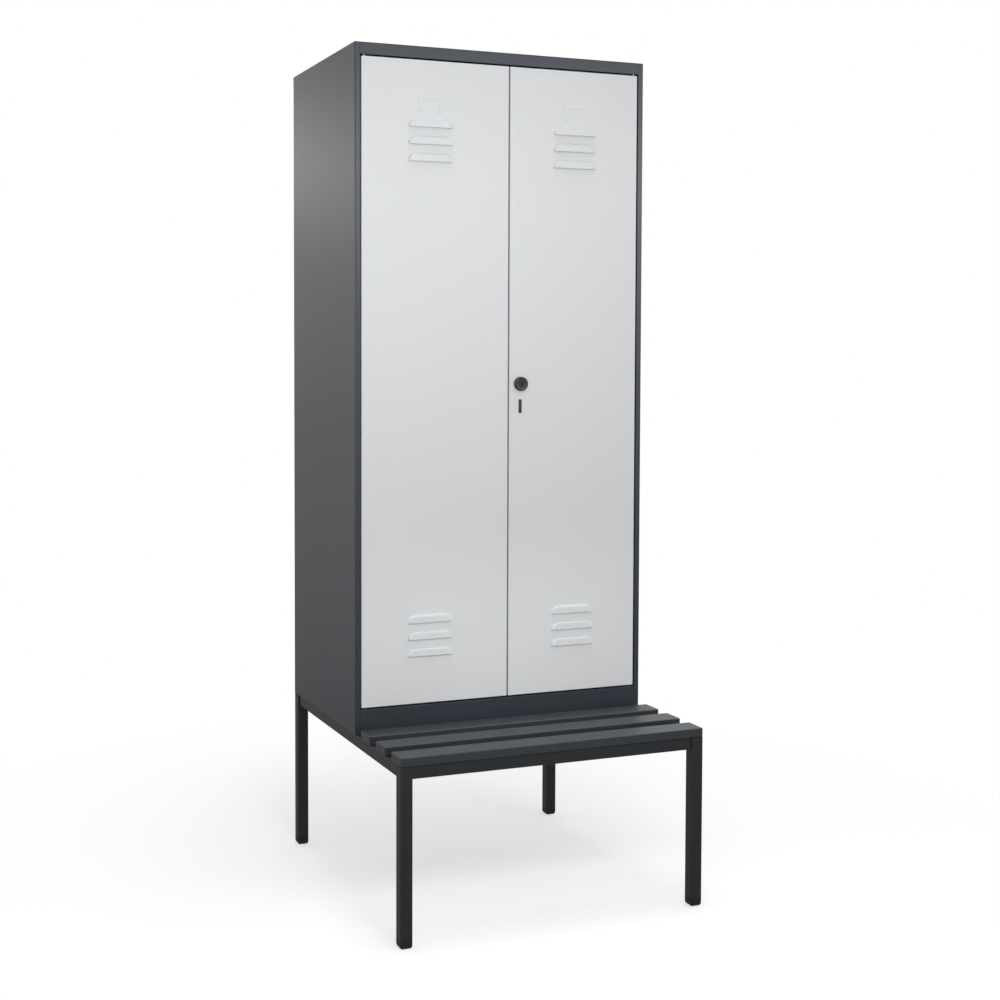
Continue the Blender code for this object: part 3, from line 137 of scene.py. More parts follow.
class LockerSizes(bpy.types.PropertyGroup):
    """Sizes of the locker's finished pieces"""

    sheet: millimetres("Sheet", "Thickness of the folded steel", 1.0)
    jamb: millimetres("Jamb", "Width of the jamb beside each door", 14.0)
    weld: millimetres("Weld", "How far welded edges grow to meet", 0.3)
    gap: millimetres("Gap", "Play between pieces that fit into each other", 0.3)
    fold: millimetres("Fold", "Outer radius of a fold in the cabinet", 1.2)
    inner_fold: millimetres("Inner fold", "Inner radius of a fold in the cabinet", 0.3)
    door_fold: millimetres("Door fold", "Outer radius of a fold in a door", 1.5)
    door_corner: millimetres("Door corner", "Radius of a door's ground corner", 1.2)
    door_depth: millimetres("Door depth", "Thickness of a door", 20.0)
    door_lip: millimetres("Door lip", "Width of the lip round a door's inside", 10.0)
    louvre_width: millimetres("Louvre width", "Width of one louvre", 121.0)
    louvre_height: millimetres("Louvre height", "Height of one louvre", 20.0)
    louvre_rise: millimetres("Louvre rise", "How far a louvre stands out", 6.0)
    louvre_shoulder: millimetres("Louvre shoulder", "Width of a louvre's round end", 22.0)
    louvre_slope: millimetres("Louvre slope", "Width of the curve that a louvre rises over", 6.5)
    louvre_curl: millimetres("Louvre lip", "Radius that a louvre's open edge curls in by", 1.6)
    louvre_foot: millimetres("Louvre foot", "Radius where a louvre leaves the sheet", 0.9)
    louvre_pitch: millimetres("Louvre pitch", "Distance from one louvre to the next", 42.0)
    upper_louvre_drop: millimetres("Upper louvres", "From a door's top to its top louvre", 143.0)
    lower_louvre_height: millimetres(
        "Lower louvres", "From a door's foot to its lowest louvre", 121.0)
    label_width: millimetres("Label holder width", "Width over both ribs", 64.0)
    label_height: millimetres("Label holder height", "Height of the ribs", 36.5)
    label_drop: millimetres("Label holder place", "From a door's top to the label holder", 91.0)
    label_rib: millimetres("Label rib", "Width of one rib", 12.5)
    label_rise: millimetres("Label rib rise", "How far a rib stands out", 1.2)
    label_slope: millimetres("Label slope", "Width of a rib's sloping side", 1.5)
    label_corner: millimetres("Label corner", "Radius of a rib's corner", 2.2)
    label_bar_height: millimetres("Label bar height", "Height of the bar between the ribs", 4.0)
    label_bar_drop: millimetres("Label bar place", "From the ribs' top to the bar", 2.4)
    label_bar_rise: millimetres("Label bar rise", "How far the bar stands out", 0.8)
    label_grid: millimetres("Label grid", "Spacing of the points that draw the ribs", 0.6)
    bush_hole: millimetres("Bush hole", "Radius of the holes for a door's bushes", 4.5)
    rod_play: millimetres("Rod play", "Play round a rod where it leaves the door", 0.4)
    tongue_slot_depth: millimetres("Tongue slot", "From the tongue's front to its far side", 3.0)
    tongue_slot_rise: millimetres("Tongue slot top", "From the knob's middle to its top", 6.0)
    knob_gap: millimetres("Knob gap", "From the door's face to the knob's back", 0.6)
    knob_hollow: millimetres("Knob hollow", "Radius of the hollow behind the knob", 13.3)
    knob_hollow_roof: millimetres("Knob hollow roof", "From the door's face to its roof", 2.1)
    knob_stem: millimetres("Knob stem", "Radius of the knob's stem", 5.0)
    knob_stem_reach: millimetres("Knob stem reach", "From the door's face to its end", 11.2)
    knob_tip: millimetres("Knob tip", "Radius of the tip that carries the cam", 3.1)
    knob_tip_reach: millimetres("Knob tip reach", "From the door's face to its end", 13.4)
    knob_round: millimetres("Knob edge", "Radius round the knob's front", 3.5)
    knob_back_round: millimetres("Knob back edge", "Radius round the knob's back", 0.6)
    knob_dish: millimetres("Knob dish", "Depth of the hollow in the knob's front", 1.1)
    knob_dish_edge: millimetres("Knob dish edge", "Radius where the hollow begins", 14.3)
    knob_dish_floor: millimetres("Knob dish floor", "Radius of the hollow's flat floor", 10.4)
    cylinder_bevel: millimetres("Cylinder edge", "Bevel round the key cylinder", 0.35)
    keyway_width: millimetres("Keyway width", "Width of the keyway", 2.8)
    keyway_height: millimetres("Keyway height", "Height of the keyway", 9.5)
    keyway_depth: millimetres("Keyway depth", "Depth of the keyway", 8.0)
    plug_crown: millimetres("Plug edge", "Radius round the plug's rim", 0.7)
    plug_corner: millimetres("Plug corner", "Radius of the plug's corners", 2.3)
    plug_flat: millimetres("Plug flat", "From the plug's rim to its flat front", 1.54)
    plug_foot: millimetres("Plug foot", "How far the plug's foot is drawn in", 1.3)
    tube_round: millimetres("Tube corner", "Outer radius of the square tube's corners", 2.5)
    leg_wall: millimetres("Leg wall", "Wall of the legs' tube", 2.0)
    rail_wall: millimetres("Rail wall", "Wall of the frame's and garment rails", 1.5)
    cap_sole: millimetres("Foot sole", "Width of a foot cap's sole", 15.0)
    cap_sole_rise: millimetres("Foot sole edge", "How far the sole's edge is drawn up", 0.15)
    cap_shoulder: millimetres("Foot shoulder", "Height that a foot cap narrows over", 10.0)
    cap_plug: millimetres("Foot plug", "Height of the plug inside the leg", 20.0)
    cap_lip: millimetres("Foot lip", "Bevel under the leg's end", 0.5)
    slat_round: millimetres("Slat edge", "Radius along a slat's edges", 2.2)
    slat_corner: millimetres("Slat corner", "Radius of a slat's corners seen from above", 3.2)
    screw_radius: millimetres("Slat screw", "Radius of a slat screw's shank", 2.9)
    screw_flats: millimetres("Slat screw head", "Width across a slat screw's head", 10.0)
    screw_head: millimetres("Slat screw head height", "Height of a slat screw's head", 4.0)
    screw_inset: millimetres("Slat screw place", "From a slat's rear edge to its screws", 20.0)
    screw_bite: millimetres("Slat screw bite", "How far a screw goes up into its slat", 15.0)
    washer_radius: millimetres("Washer", "Radius of the flange under a screw's head", 6.5)
    washer_height: millimetres("Washer height", "Thickness of that flange", 0.9)
    screw_gap: millimetres("Slat screw gap", "From the rail to the flange", 0.1)
    bolt_radius: millimetres("Cabinet bolt", "Radius of a cabinet bolt's shank", 4.0)
    bolt_flange: millimetres("Bolt flange", "Radius of the flange under a bolt's head", 6.4)
    bolt_flange_height: millimetres("Bolt flange height", "Thickness of that flange", 0.5)
    small_edge: millimetres("Small edge", "Bevel on small metal pieces", 0.3)
    hook_edge: millimetres("Hook edge", "Radius along a coat hook's edges", 1.6)
    floor_reach: millimetres("Floor", "Radius of the floor", 9000.0)


class LockerColours(bpy.types.PropertyGroup):
    """Colours of the locker's finishes"""

    door: colour("Doors", "Light grey powder coat", "CDCFD1")
    body: colour("Cabinet", "Anthracite powder coat", "292E36")
    tube: colour("Frame", "Black grey powder coat", "202326")
    slat: colour("Slats", "Dark grey plastic", "262A2E")
    knob: colour("Knob", "Black moulded plastic", "1A1B1D")
    rubber: colour("Feet and strip", "Black rubber", "161718")
    nylon: colour("Bushes", "Black nylon", "1E1F20")
    nickel: colour("Lock", "Nickel plate", "C2BEB6")
    dark_nickel: colour("Key cylinder", "Blackened nickel plate", "3A3A3B")
    zinc: colour("Cam and rods", "Bright zinc plate", "BFC3C6")
    chrome: colour("Garment rails", "Chrome plate", "DCDDDF")
    floor: colour("Floor", "Matt white floor", "C8C8C8")


# Nodes

def add_node(tree, kind, inputs=None, **settings):
    """Add a node with its settings; an input is given a value or a link."""
    node = tree.nodes.new(kind)
    for name, value in settings.items():
        setattr(node, name, value)
    for key, value in (inputs or {}).items():
        if isinstance(value, bpy.types.NodeSocket):
            tree.links.new(value, node.inputs[key])
        else:
            node.inputs[key].default_value = value
    return node


def new_finish(name):
    """An empty material with its Principled shader and object coordinates."""
    material = bpy.data.materials.new(name)
    material.use_nodes = True
    tree = material.node_tree
    shader = tree.nodes["Principled BSDF"]
    place = add_node(tree, "ShaderNodeTexCoord").outputs["Object"]
    return material, tree, shader, place


def waves(size_mm):
    """How many waves of a pattern this wide there are in a metre."""
    return 1 / (size_mm * MM)


def add_cast(tree, shader, place, colour_value, spread, size_mm, detail=3.0):
    """Let a finish's colour drift, a little darker and lighter, from place to place."""
    noise = add_node(tree, "ShaderNodeTexNoise",
                     {"Vector": place, "Scale": waves(size_mm), "Detail": detail})
    low, high = [[part * way for part in colour_value] + [1.0] for way in (1 - spread, 1 + spread)]
    mix = add_node(tree, "ShaderNodeMix", {
        MIX_FACTOR: noise.outputs["Fac"], MIX_FIRST: low, MIX_SECOND: high}, data_type="RGBA")
    tree.links.new(mix.outputs[MIX_RESULT], shader.inputs["Base Color"])


# Finishes

def patterned(name, colour_value, spread, drift_mm, pattern_mm, detail, sheen, depth_mm,
              strength, drift_detail=3.0, ior=1.5, gloss=0.5, metallic=0.0):
    """A finish whose colour drifts, and whose pattern changes its roughness and its relief.

    The pattern's size is given along X, Y and Z; sheen is its lowest and highest roughness.
    """
    material, tree, shader, place = new_finish(name)
    add_cast(tree, shader, place, colour_value, spread, drift_mm, drift_detail)
    stretch = add_node(tree, "ShaderNodeMapping",
                       {"Vector": place, "Scale": [waves(size) for size in pattern_mm]})
    noise = add_node(tree, "ShaderNodeTexNoise",
                     {"Vector": stretch.outputs["Vector"], "Scale": 1.0, "Detail": detail})
    pattern = noise.outputs["Fac"]
    change = add_node(tree, "ShaderNodeMapRange",
                      {"Value": pattern, "To Min": sheen[0], "To Max": sheen[1]})
    bump = add_node(tree, "ShaderNodeBump",
                    {"Height": pattern, "Distance": depth_mm * MM, "Strength": strength})
    tree.links.new(change.outputs["Result"], shader.inputs["Roughness"])
    tree.links.new(bump.outputs["Normal"], shader.inputs["Normal"])
    shader.inputs["IOR"].default_value = ior
    shader.inputs["Specular IOR Level"].default_value = gloss
    shader.inputs["Metallic"].default_value = metallic
    return material


def powder_coat(name, colour_value, roughness, spread=0.03, gloss=0.5):
    """Baked powder coat on steel: satin, with faint orange peel that softens every highlight.

    The real peel is 1 to 2 mm across; it is drawn at 4 mm, so that it shows from this far.
    """
    return patterned(name, colour_value, spread, drift_mm=454.5, pattern_mm=(4, 4, 4), detail=2.0,
                     sheen=(roughness - 0.04, roughness + 0.05), depth_mm=0.06, strength=0.5,
                     gloss=gloss)


def extruded_plastic(name, colour_value):
    """Solid plastic lumber, drawn through a die: matt, with fine lines along its length.

    The real lines are under 1 mm apart; they are drawn almost 4 mm apart, so that they show.
    """
    return patterned(name, colour_value, spread=0.05, drift_mm=166.7,
                     pattern_mm=(666.7, 3.846, 3.846), detail=3.0, sheen=(0.40, 0.50),
                     depth_mm=0.12, strength=0.5, ior=1.49, gloss=0.65)


def moulded_plastic(name, colour_value, roughness):
    """Injection moulded plastic with a spark-eroded skin: an even, fine-grained satin.

    The real grain is 0.1 mm; it is drawn at 0.7 mm, so that a close view shows it.
    """
    return patterned(name, colour_value, spread=0.06, drift_mm=16.7, pattern_mm=(0.714,) * 3,
                     detail=2.0, sheen=(roughness - 0.05, roughness + 0.06), depth_mm=0.03,
                     strength=0.4, ior=1.49)


def rubber(name, colour_value):
    """Moulded rubber: dull, a little greyer where it is worn, in patches 11 mm wide."""
    return patterned(name, colour_value, spread=0.15, drift_mm=11.1, drift_detail=5.0,
                     pattern_mm=(11.1,) * 3, detail=5.0, sheen=(0.6, 0.82), depth_mm=0.1,
                     strength=0.3, ior=1.52)


def plated_steel(name, colour_value, roughness, marks_mm=(2.5, 2.5, 2.5)):
    """Plated steel: metallic, with faint drawing marks that break up what it mirrors.

    The real marks are a tenth of a millimetre wide; they are drawn coarser, to show.
    """
    return patterned(name, colour_value, spread=0.06, drift_mm=22.2, pattern_mm=marks_mm,
                     detail=4.0, sheen=(roughness * 0.75, roughness * 1.3), depth_mm=0.02,
                     strength=0.25, metallic=1.0)


FINISHES = {}


def make_finishes(colours):
    """Every finish of the locker, by the name of what it covers."""
    FINISHES.update(
        door=powder_coat("light grey powder coat", colours.door, roughness=0.44, spread=0.012),
        body=powder_coat("anthracite powder coat", colours.body, roughness=0.38),
        tube=powder_coat("black grey powder coat", colours.tube, roughness=0.42, gloss=0.45),
        slat=extruded_plastic("dark grey plastic lumber", colours.slat),
        knob=moulded_plastic("black moulded plastic", colours.knob, roughness=0.34),
        rubber=rubber("black rubber", colours.rubber),
        nylon=moulded_plastic("black nylon", colours.nylon, roughness=0.45),
        nickel=plated_steel("nickel plated steel", colours.nickel, roughness=0.25),
        dark_nickel=plated_steel("blackened nickel plate", colours.dark_nickel, roughness=0.32),
        zinc=plated_steel("bright zinc plated steel", colours.zinc, roughness=0.34,
                          marks_mm=(2, 2, 16.67)),
        chrome=plated_steel("chromed steel tube", colours.chrome, roughness=0.10,
                            marks_mm=(25, 1.667, 1.667)),
    )


# Meshes

def linked(name, data):
    """An object for a mesh, a lamp or a camera, in the scene."""
    item = bpy.data.objects.new(name, data)
    bpy.context.scene.collection.objects.link(item)
    return item


def to_mesh(shape, name="work"):
    """A mesh made of a bmesh, which is freed."""
    mesh = bpy.data.meshes.new(name)
    shape.to_mesh(mesh)
    shape.free()
    return mesh


def modified(mesh, *steps):
    """A plain mesh of what modifiers, given as (kind, settings), make of a mesh."""
    item = linked("work", mesh)
    for kind, settings in steps:
        modifier = item.modifiers.new(kind, kind)
        for name, value in settings.items():
            setattr(modifier, name, value)
    return made_plain(item)


def made_plain(item):
    """The mesh that an object shows, made plain; the object and its own mesh go."""
    bpy.context.view_layer.update()
    shown = item.evaluated_get(bpy.context.evaluated_depsgraph_get())
    result = bpy.data.meshes.new_from_object(shown)
    source = item.data
    item.modifiers.clear()
    bpy.data.objects.remove(item)
    bpy.data.meshes.remove(source)
    return result


def cut(mesh, shape):
    """Cut a bmesh out of a mesh."""
    tool = linked("tool", to_mesh(shape, "tool"))
    result = modified(mesh, ("BOOLEAN", {"object": tool, "operation": "DIFFERENCE",
                                         "solver": "EXACT"}))
    source = tool.data
    bpy.data.objects.remove(tool)
    bpy.data.meshes.remove(source)
    return result


def shaded(mesh, sheet=None):
    """Smooth curves, crisp edges and flat faces that stay flat."""
    mesh.shade_smooth()
    mesh.set_sharp_from_angle(angle=math.radians(SHARP_DEG))
    if sheet:
        crease_sheet(mesh, sheet)
    return modified(mesh, ("WEIGHTED_NORMAL", {"keep_sharp": True, "weight": NORMAL_WEIGHT}))


def crease_sheet(mesh, sheet):
    """Crease a door's flat sheet where a louvre rises from it, so that it stays quite flat."""
    shape = bmesh.new()
    shape.from_mesh(mesh)
    flats = {face for face in shape.faces
             if abs(face.normal.y) > 1 - JOIN_GAP and face.calc_area() > SMALL_FACE
             and min(abs(face.verts[0].co.y - y) for y in (FACE_Y, FACE_Y + sheet)) < JOIN_GAP}
    for edge in shape.edges:
        if len(flats.intersection(edge.link_faces)) == 1:
            edge.smooth = False
    shape.to_mesh(mesh)
    shape.free()


def joined(*meshes):
    """Several meshes in one, with their common corners merged."""
    shape = bmesh.new()
    for mesh in meshes:
        shape.from_mesh(mesh)
        bpy.data.meshes.remove(mesh)
    bmesh.ops.remove_doubles(shape, verts=shape.verts, dist=JOIN_GAP)
    return to_mesh(shape)


def add_piece(name, mesh, finish, body, replaced=()):
    """Put a finished piece in the scene, on its body and in place of its solids."""
    mesh.name = name
    mesh.materials.clear()
    mesh.materials.append(FINISHES[finish])
    piece = linked(name, mesh)
    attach(piece, body)
    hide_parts(*replaced)
    return piece


def refinish(finish, *nodes):
    """Give solids that stay as they are their finish."""
    for node in nodes:
        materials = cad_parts[node].data.materials
        materials.clear()
        materials.append(FINISHES[finish])


# Outlines and turned or stacked shapes

def arc(centre, radii, start_deg, end_deg, steps=ARC_STEPS):
    """Points on an ellipse from one angle to another."""
    angles = [math.radians(start_deg + (end_deg - start_deg) * step / steps)
              for step in range(steps + 1)]
    return [(centre[0] + radii[0] * math.cos(angle), centre[1] + radii[1] * math.sin(angle))
            for angle in angles]


def rounded_rectangle(width, height, radius, steps=CORNER_STEPS):
    """A rectangle about the origin with round corners."""
    across, up = width / 2 - radius, height / 2 - radius
    corners = ((across, up, 0), (-across, up, 90), (-across, -up, 180), (across, -up, 270))
    return [point for x, y, start in corners
            for point in arc((x, y), (radius, radius), start, start + 90, steps)]


def round_points(centre, radius, steps):
    """Points round a circle, or a polygon of few steps."""
    return arc(centre, (radius, radius), 0, 360, steps)[:-1]


def eased_profile(low, high, edge, steps=EDGE_STEPS):
    """(inset, height) points of a block with a round lower and upper edge."""
    return (arc((edge, low + edge), (-edge, edge), -90, 0, steps)
            + arc((edge, high - edge), (-edge, edge), 0, 90, steps))


def facing(x, z):
    """Where a shape's outline lies on the cabinet's front and its height runs inwards."""
    return Matrix.Translation((x, FACE_Y, z)) @ INWARDS


def placed(shape, place):
    """Move a shape to its place and point every face outwards."""
    bmesh.ops.transform(shape, matrix=place, verts=shape.verts)
    bmesh.ops.recalc_face_normals(shape, faces=shape.faces)
    return shape


def turned(profile, place, steps=TURN_STEPS):
    """A profile of (radius, height) points turned about the local Z axis."""
    shape = bmesh.new()
    points = [shape.verts.new((radius, 0, height)) for radius, height in profile]
    edges = [shape.edges.new(pair) for pair in zip(points, points[1:])]
    if profile[0][0] > 0:
        edges.append(shape.edges.new((points[-1], points[0])))
    bmesh.ops.spin(shape, geom=points + edges, axis=(0, 0, 1), cent=(0, 0, 0), angle=math.tau,
                   steps=steps, use_merge=True)
    bmesh.ops.remove_doubles(shape, verts=shape.verts, dist=FINE_GAP)
    return placed(shape, place)


def bridge(shape, low, high):
    """Quads between two closed rings of as many points."""
    for place, (first, second) in enumerate(zip(low, low[1:] + low[:1])):
        shape.faces.new((first, second, high[(place + 1) % len(high)], high[place]))


def shell(outlines):
    """A closed solid over outlines of as many points, one after the other."""
    shape = bmesh.new()
    rings = [[shape.verts.new(point) for point in outline] for outline in outlines]
    for low, high in zip(rings, rings[1:]):
        bridge(shape, low, high)
    shape.faces.new(rings[0])
    shape.faces.new(rings[-1])
    bmesh.ops.remove_doubles(shape, verts=shape.verts, dist=FINE_GAP)
    bmesh.ops.recalc_face_normals(shape, faces=shape.faces)
    return shape


def stacked(size, corner, profile):
    """A solid of rounded rectangles, one for each (inset, height) of a profile."""
    outlines = []
    for inset, height in profile:
        width, depth = size[0] - 2 * inset, size[1] - 2 * inset
        radius = max(corner - inset, corner * min(width, depth) / min(size) / 2)
        outlines.append([(x, y, height) for x, y in rounded_rectangle(width, depth, radius)])
    return shell(outlines)


def box_shape(low, high):
    """A plain box between two corners, for a cutter."""
    shape = bmesh.new()
    bmesh.ops.create_cube(shape, size=1.0)
    low, high = Vector(low), Vector(high)
    bmesh.ops.scale(shape, vec=high - low, verts=shape.verts)
    bmesh.ops.translate(shape, vec=(low + high) / 2, verts=shape.verts)
    return shape


def gathered(*shapes):
    """Several shapes in one bmesh."""
    whole = bmesh.new()
    for shape in shapes:
        mesh = to_mesh(shape)
        whole.from_mesh(mesh)
        bpy.data.meshes.remove(mesh)
    return whole


def middle(node):
    """The middle of a solid's box."""
    low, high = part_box(node)
    return (low + high) / 2


def span(node):
    """The size of a solid's box."""
    low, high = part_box(node)
    return high - low


# Geometry nodes

def new_tree(name, inputs):
    """A node tree with a geometry input, further named inputs and a geometry output."""
    tree = bpy.data.node_groups.new(name, "GeometryNodeTree")
    tree.interface.new_socket("Geometry", in_out="INPUT", socket_type="NodeSocketGeometry")
    for title, kind in inputs:
        tree.interface.new_socket(title, in_out="INPUT", socket_type="NodeSocket" + kind)
    tree.interface.new_socket("Geometry", in_out="OUTPUT", socket_type="NodeSocketGeometry")
    return tree, add_node(tree, "NodeGroupInput").outputs


def end_tree(tree, geometry, material):
    """Make a tree's result real and give it its material."""
    real = add_node(tree, "GeometryNodeRealizeInstances", {"Geometry": geometry})
    finished = add_node(tree, "GeometryNodeSetMaterial",
                        {"Geometry": real.outputs["Geometry"], "Material": material})
    add_node(tree, "NodeGroupOutput", {"Geometry": finished.outputs["Geometry"]})
    return tree


def rows_tree():
    """Stand a shape at every place of a grid of rows."""
    tree, given = new_tree("rows", (
        ("Start", "Vector"), ("Step", "Vector"), ("Count", "Int"), ("Row step", "Vector"),
        ("Row count", "Int"), ("Material", "Material")))
    row = add_node(tree, "GeometryNodeMeshLine",
                   {"Count": given["Count"], "Start Location": given["Start"],
                    "Offset": given["Step"]}, mode="OFFSET")
    across = add_node(tree, "GeometryNodeMeshLine",
                      {"Count": given["Row count"], "Offset": given["Row step"]}, mode="OFFSET")
    grid = add_node(tree, "GeometryNodeInstanceOnPoints",
                    {"Points": across.outputs["Mesh"], "Instance": row.outputs["Mesh"]})
    points = add_node(tree, "GeometryNodeRealizeInstances", {"Geometry": grid.outputs["Instances"]})
    copies = add_node(tree, "GeometryNodeInstanceOnPoints",
                      {"Points": points.outputs["Geometry"], "Instance": given["Geometry"]})
    return end_tree(tree, copies.outputs["Instances"], given["Material"])


def tube_tree():
    """A square tube with round corners that stands up from the origin."""
    tree, given = new_tree("square tube", (
        ("Width", "Float"), ("Depth", "Float"), ("Corner", "Float"), ("Wall", "Float"),
        ("Length", "Float"), ("Material", "Material")))
    walls = add_node(tree, "ShaderNodeMath", {0: given["Wall"], 1: 2.0}, operation="MULTIPLY")
    outer = [given["Width"], given["Depth"], given["Corner"]]
    inner = [add_node(tree, "ShaderNodeMath", {0: size, 1: less}, operation="SUBTRACT").outputs[0]
             for size, less in zip(outer, (walls.outputs[0], walls.outputs[0], given["Wall"]))]
    both = add_node(tree, "GeometryNodeJoinGeometry")
    for width, depth, corner in (outer, inner):
        outline = add_node(tree, "GeometryNodeCurvePrimitiveQuadrilateral",
                           {"Width": width, "Height": depth})
        rounded = add_node(tree, "GeometryNodeFilletCurve",
                           {"Curve": outline.outputs["Curve"], "Radius": corner,
                            "Count": CORNER_STEPS}, mode="POLY")
        tree.links.new(rounded.outputs["Curve"], both.inputs["Geometry"])
    face = add_node(tree, "GeometryNodeFillCurve", {"Curve": both.outputs["Geometry"]})
    upright = add_node(tree, "ShaderNodeCombineXYZ", {"Z": given["Length"]})
    walls_up = add_node(tree, "GeometryNodeExtrudeMesh",
                        {"Mesh": face.outputs["Mesh"], "Offset": upright.outputs["Vector"],
                         "Offset Scale": 1.0, "Individual": False}, mode="FACES")
    base = add_node(tree, "GeometryNodeFlipFaces", {"Mesh": face.outputs["Mesh"]})
    whole = add_node(tree, "GeometryNodeJoinGeometry")
    for part in (walls_up, base):
        tree.links.new(part.outputs["Mesh"], whole.inputs["Geometry"])
    merged = add_node(tree, "GeometryNodeMergeByDistance",
                      {"Geometry": whole.outputs["Geometry"], "Distance": JOIN_GAP})
    return end_tree(tree, merged.outputs["Geometry"], given["Material"])


TREES = {}


def grown(make_tree, mesh, **inputs):
    """A plain mesh of what a tree makes of a mesh, with its inputs given by name."""
    if make_tree not in TREES:
        TREES[make_tree] = make_tree()
    tree = TREES[make_tree]
    item = linked("work", mesh)
    modifier = item.modifiers.new(tree.name, "NODES")
    modifier.node_group = tree
    sockets = {socket.name: socket.identifier for socket in tree.interface.items_tree
               if socket.item_type == "SOCKET" and socket.in_out == "INPUT"}
    for title, value in inputs.items():
        modifier[sockets[title.replace("_", " ")]] = value
    return made_plain(item)


def in_rows(mesh, finish, start, step=(0, 0, 0), count=1, row_step=(0, 0, 0), row_count=1):
    """A mesh repeated in rows from a starting place."""
    return grown(rows_tree, mesh, Start=start, Step=step, Count=count, Row_step=row_step,
                 Row_count=row_count, Material=FINISHES[finish])


def tube(width, depth, corner, wall, length, finish):
    """A square tube that stands up from the origin."""
    return grown(tube_tree, bpy.data.meshes.new("work"), Width=width, Depth=depth, Corner=corner,
                 Wall=wall, Length=length, Material=FINISHES[finish])


# Folded sheets

# How much wider than a sheet or a weld something may be and still be taken for it
NEAR_SHARE = 1.2


def merged_copy(node):
    """A copy of a solid with its corners joined and its flat faces whole."""
    shape = bmesh.new()
    shape.from_mesh(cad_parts[node].data)
    bmesh.ops.remove_doubles(shape, verts=shape.verts, dist=JOIN_GAP)
    bmesh.ops.dissolve_limit(shape, angle_limit=math.radians(FLAT_DEG), verts=shape.verts,
                             edges=shape.edges)
    return shape


def is_rim(face, sheet):
    """True for the narrow face along a sheet's cut edge."""
    around = sum(edge.calc_length() for edge in face.edges)
    return face.calc_area() / (around / 2) < sheet * NEAR_SHARE


def meet_jambs(shape, sizes):
    """Bring edges that are welded to the jambs right up to them, as the weld does."""
    jamb = CAD_BOX[1][0] - sizes.jamb
    for vertex in shape.verts:
        if 0 < jamb - abs(vertex.co.x) < sizes.weld * NEAR_SHARE:
            vertex.co.x = math.copysign(jamb, vertex.co.x)


def softened(node, sizes):
    """A sheet piece whose folds are bent instead of sharp; cut edges stay crisp."""
    shape = merged_copy(node)
    meet_jambs(shape, sizes)
    weight = shape.edges.layers.float.new("bevel_weight_edge")
    rims = {face for face in shape.faces if is_rim(face, sizes.sheet)}
    for edge in shape.edges:
        if edge.calc_face_angle(0) < math.radians(FOLD_DEG) or rims.intersection(edge.link_faces):
            continue
        edge[weight] = 1.0 if edge.is_convex else sizes.inner_fold / sizes.fold
    mesh = modified(to_mesh(shape), ("BEVEL", {
        "width": sizes.fold, "segments": FOLD_STEPS, "limit_method": "WEIGHT",
        "use_clamp_overlap": False}))
    return shaded(kept_inside(mesh))


def kept_inside(mesh):
    """Draw the corners of the folds back to the cabinet's own faces."""
    low, high = (CAD_BOX[0][0], FACE_Y, CAD_BOX[0][2]), CAD_BOX[1]
    for vertex in mesh.vertices:
        for axis in range(3):
            vertex.co[axis] = min(max(vertex.co[axis], low[axis]), high[axis])
    mesh.update()
    return mesh


def bevelled(node, size, steps=2):
    """A copy of a solid with every sharp edge taken off."""
    shape = merged_copy(node)
    mesh = modified(to_mesh(shape), ("BEVEL", {
        "width": size, "segments": steps, "limit_method": "ANGLE",
        "angle_limit": math.radians(FOLD_DEG)}))
    return shaded(mesh)


class LOCKER_OT_panels(bpy.types.Operator):
    """Bend the folds of the cabinet's panels, shelves and door stiffeners"""

    bl_idname = "locker.panels"
    bl_label = "Folded sheets"

    def execute(self, context):
        sizes = context.scene.locker_sizes
        for node in ("left_side_panel", "right_side_panel", "top_panel", "bottom_panel",
                     "back_panel", "centre_partition", "left_hat_shelf", "right_hat_shelf"):
            add_piece(node + "_folded", softened(node, sizes), "body", "carcass", [node])
        for side in SIDES:
            node = side + "_door_stiffener"
            add_piece(node + "_folded", softened(node, sizes), "door", side + "_leaf",
                      [node])
        return {"FINISHED"}


# Doors

# A louvre's foot curve in shares of its radius, across and up, and how it meets the slope
FOOT_CURVE = ((0.45, 0.13), (0.72, 0.40))
FOOT_RUN = 0.7
FOOT_LEAN = 0.8
# How many louvres a group has, and the lock's hole as a share of its nut
LOUVRES = 3
LOCK_HOLE_SHARE = 0.79


def louvre_line(sizes, inset):
    """A louvre's outline, drawn in by an inset, from one lower corner over to the other."""
    half = sizes.louvre_width / 2 - inset
    radii = (sizes.louvre_shoulder - inset, sizes.louvre_height - inset)
    flat = half - radii[0]
    return (arc((flat, 0), radii, 0, 90, LOUVRE_STEPS)
            + arc((-flat, 0), radii, 90, 180, LOUVRE_STEPS))


def louvre_profile(sizes):
    """How a louvre rises, as (inset, rise) points: a small foot curve, then a quarter ellipse."""
    foot, slope, height = sizes.louvre_foot, sizes.louvre_slope, sizes.louvre_rise
    lean = math.degrees(math.asin(foot / height)) * FOOT_LEAN
    points = [(0.0, 0.0)] + [(foot * across, foot * up) for across, up in FOOT_CURVE]
    return points + arc((slope, 0.0), (foot * FOOT_RUN - slope, height), lean, 90, RISE_STEPS)


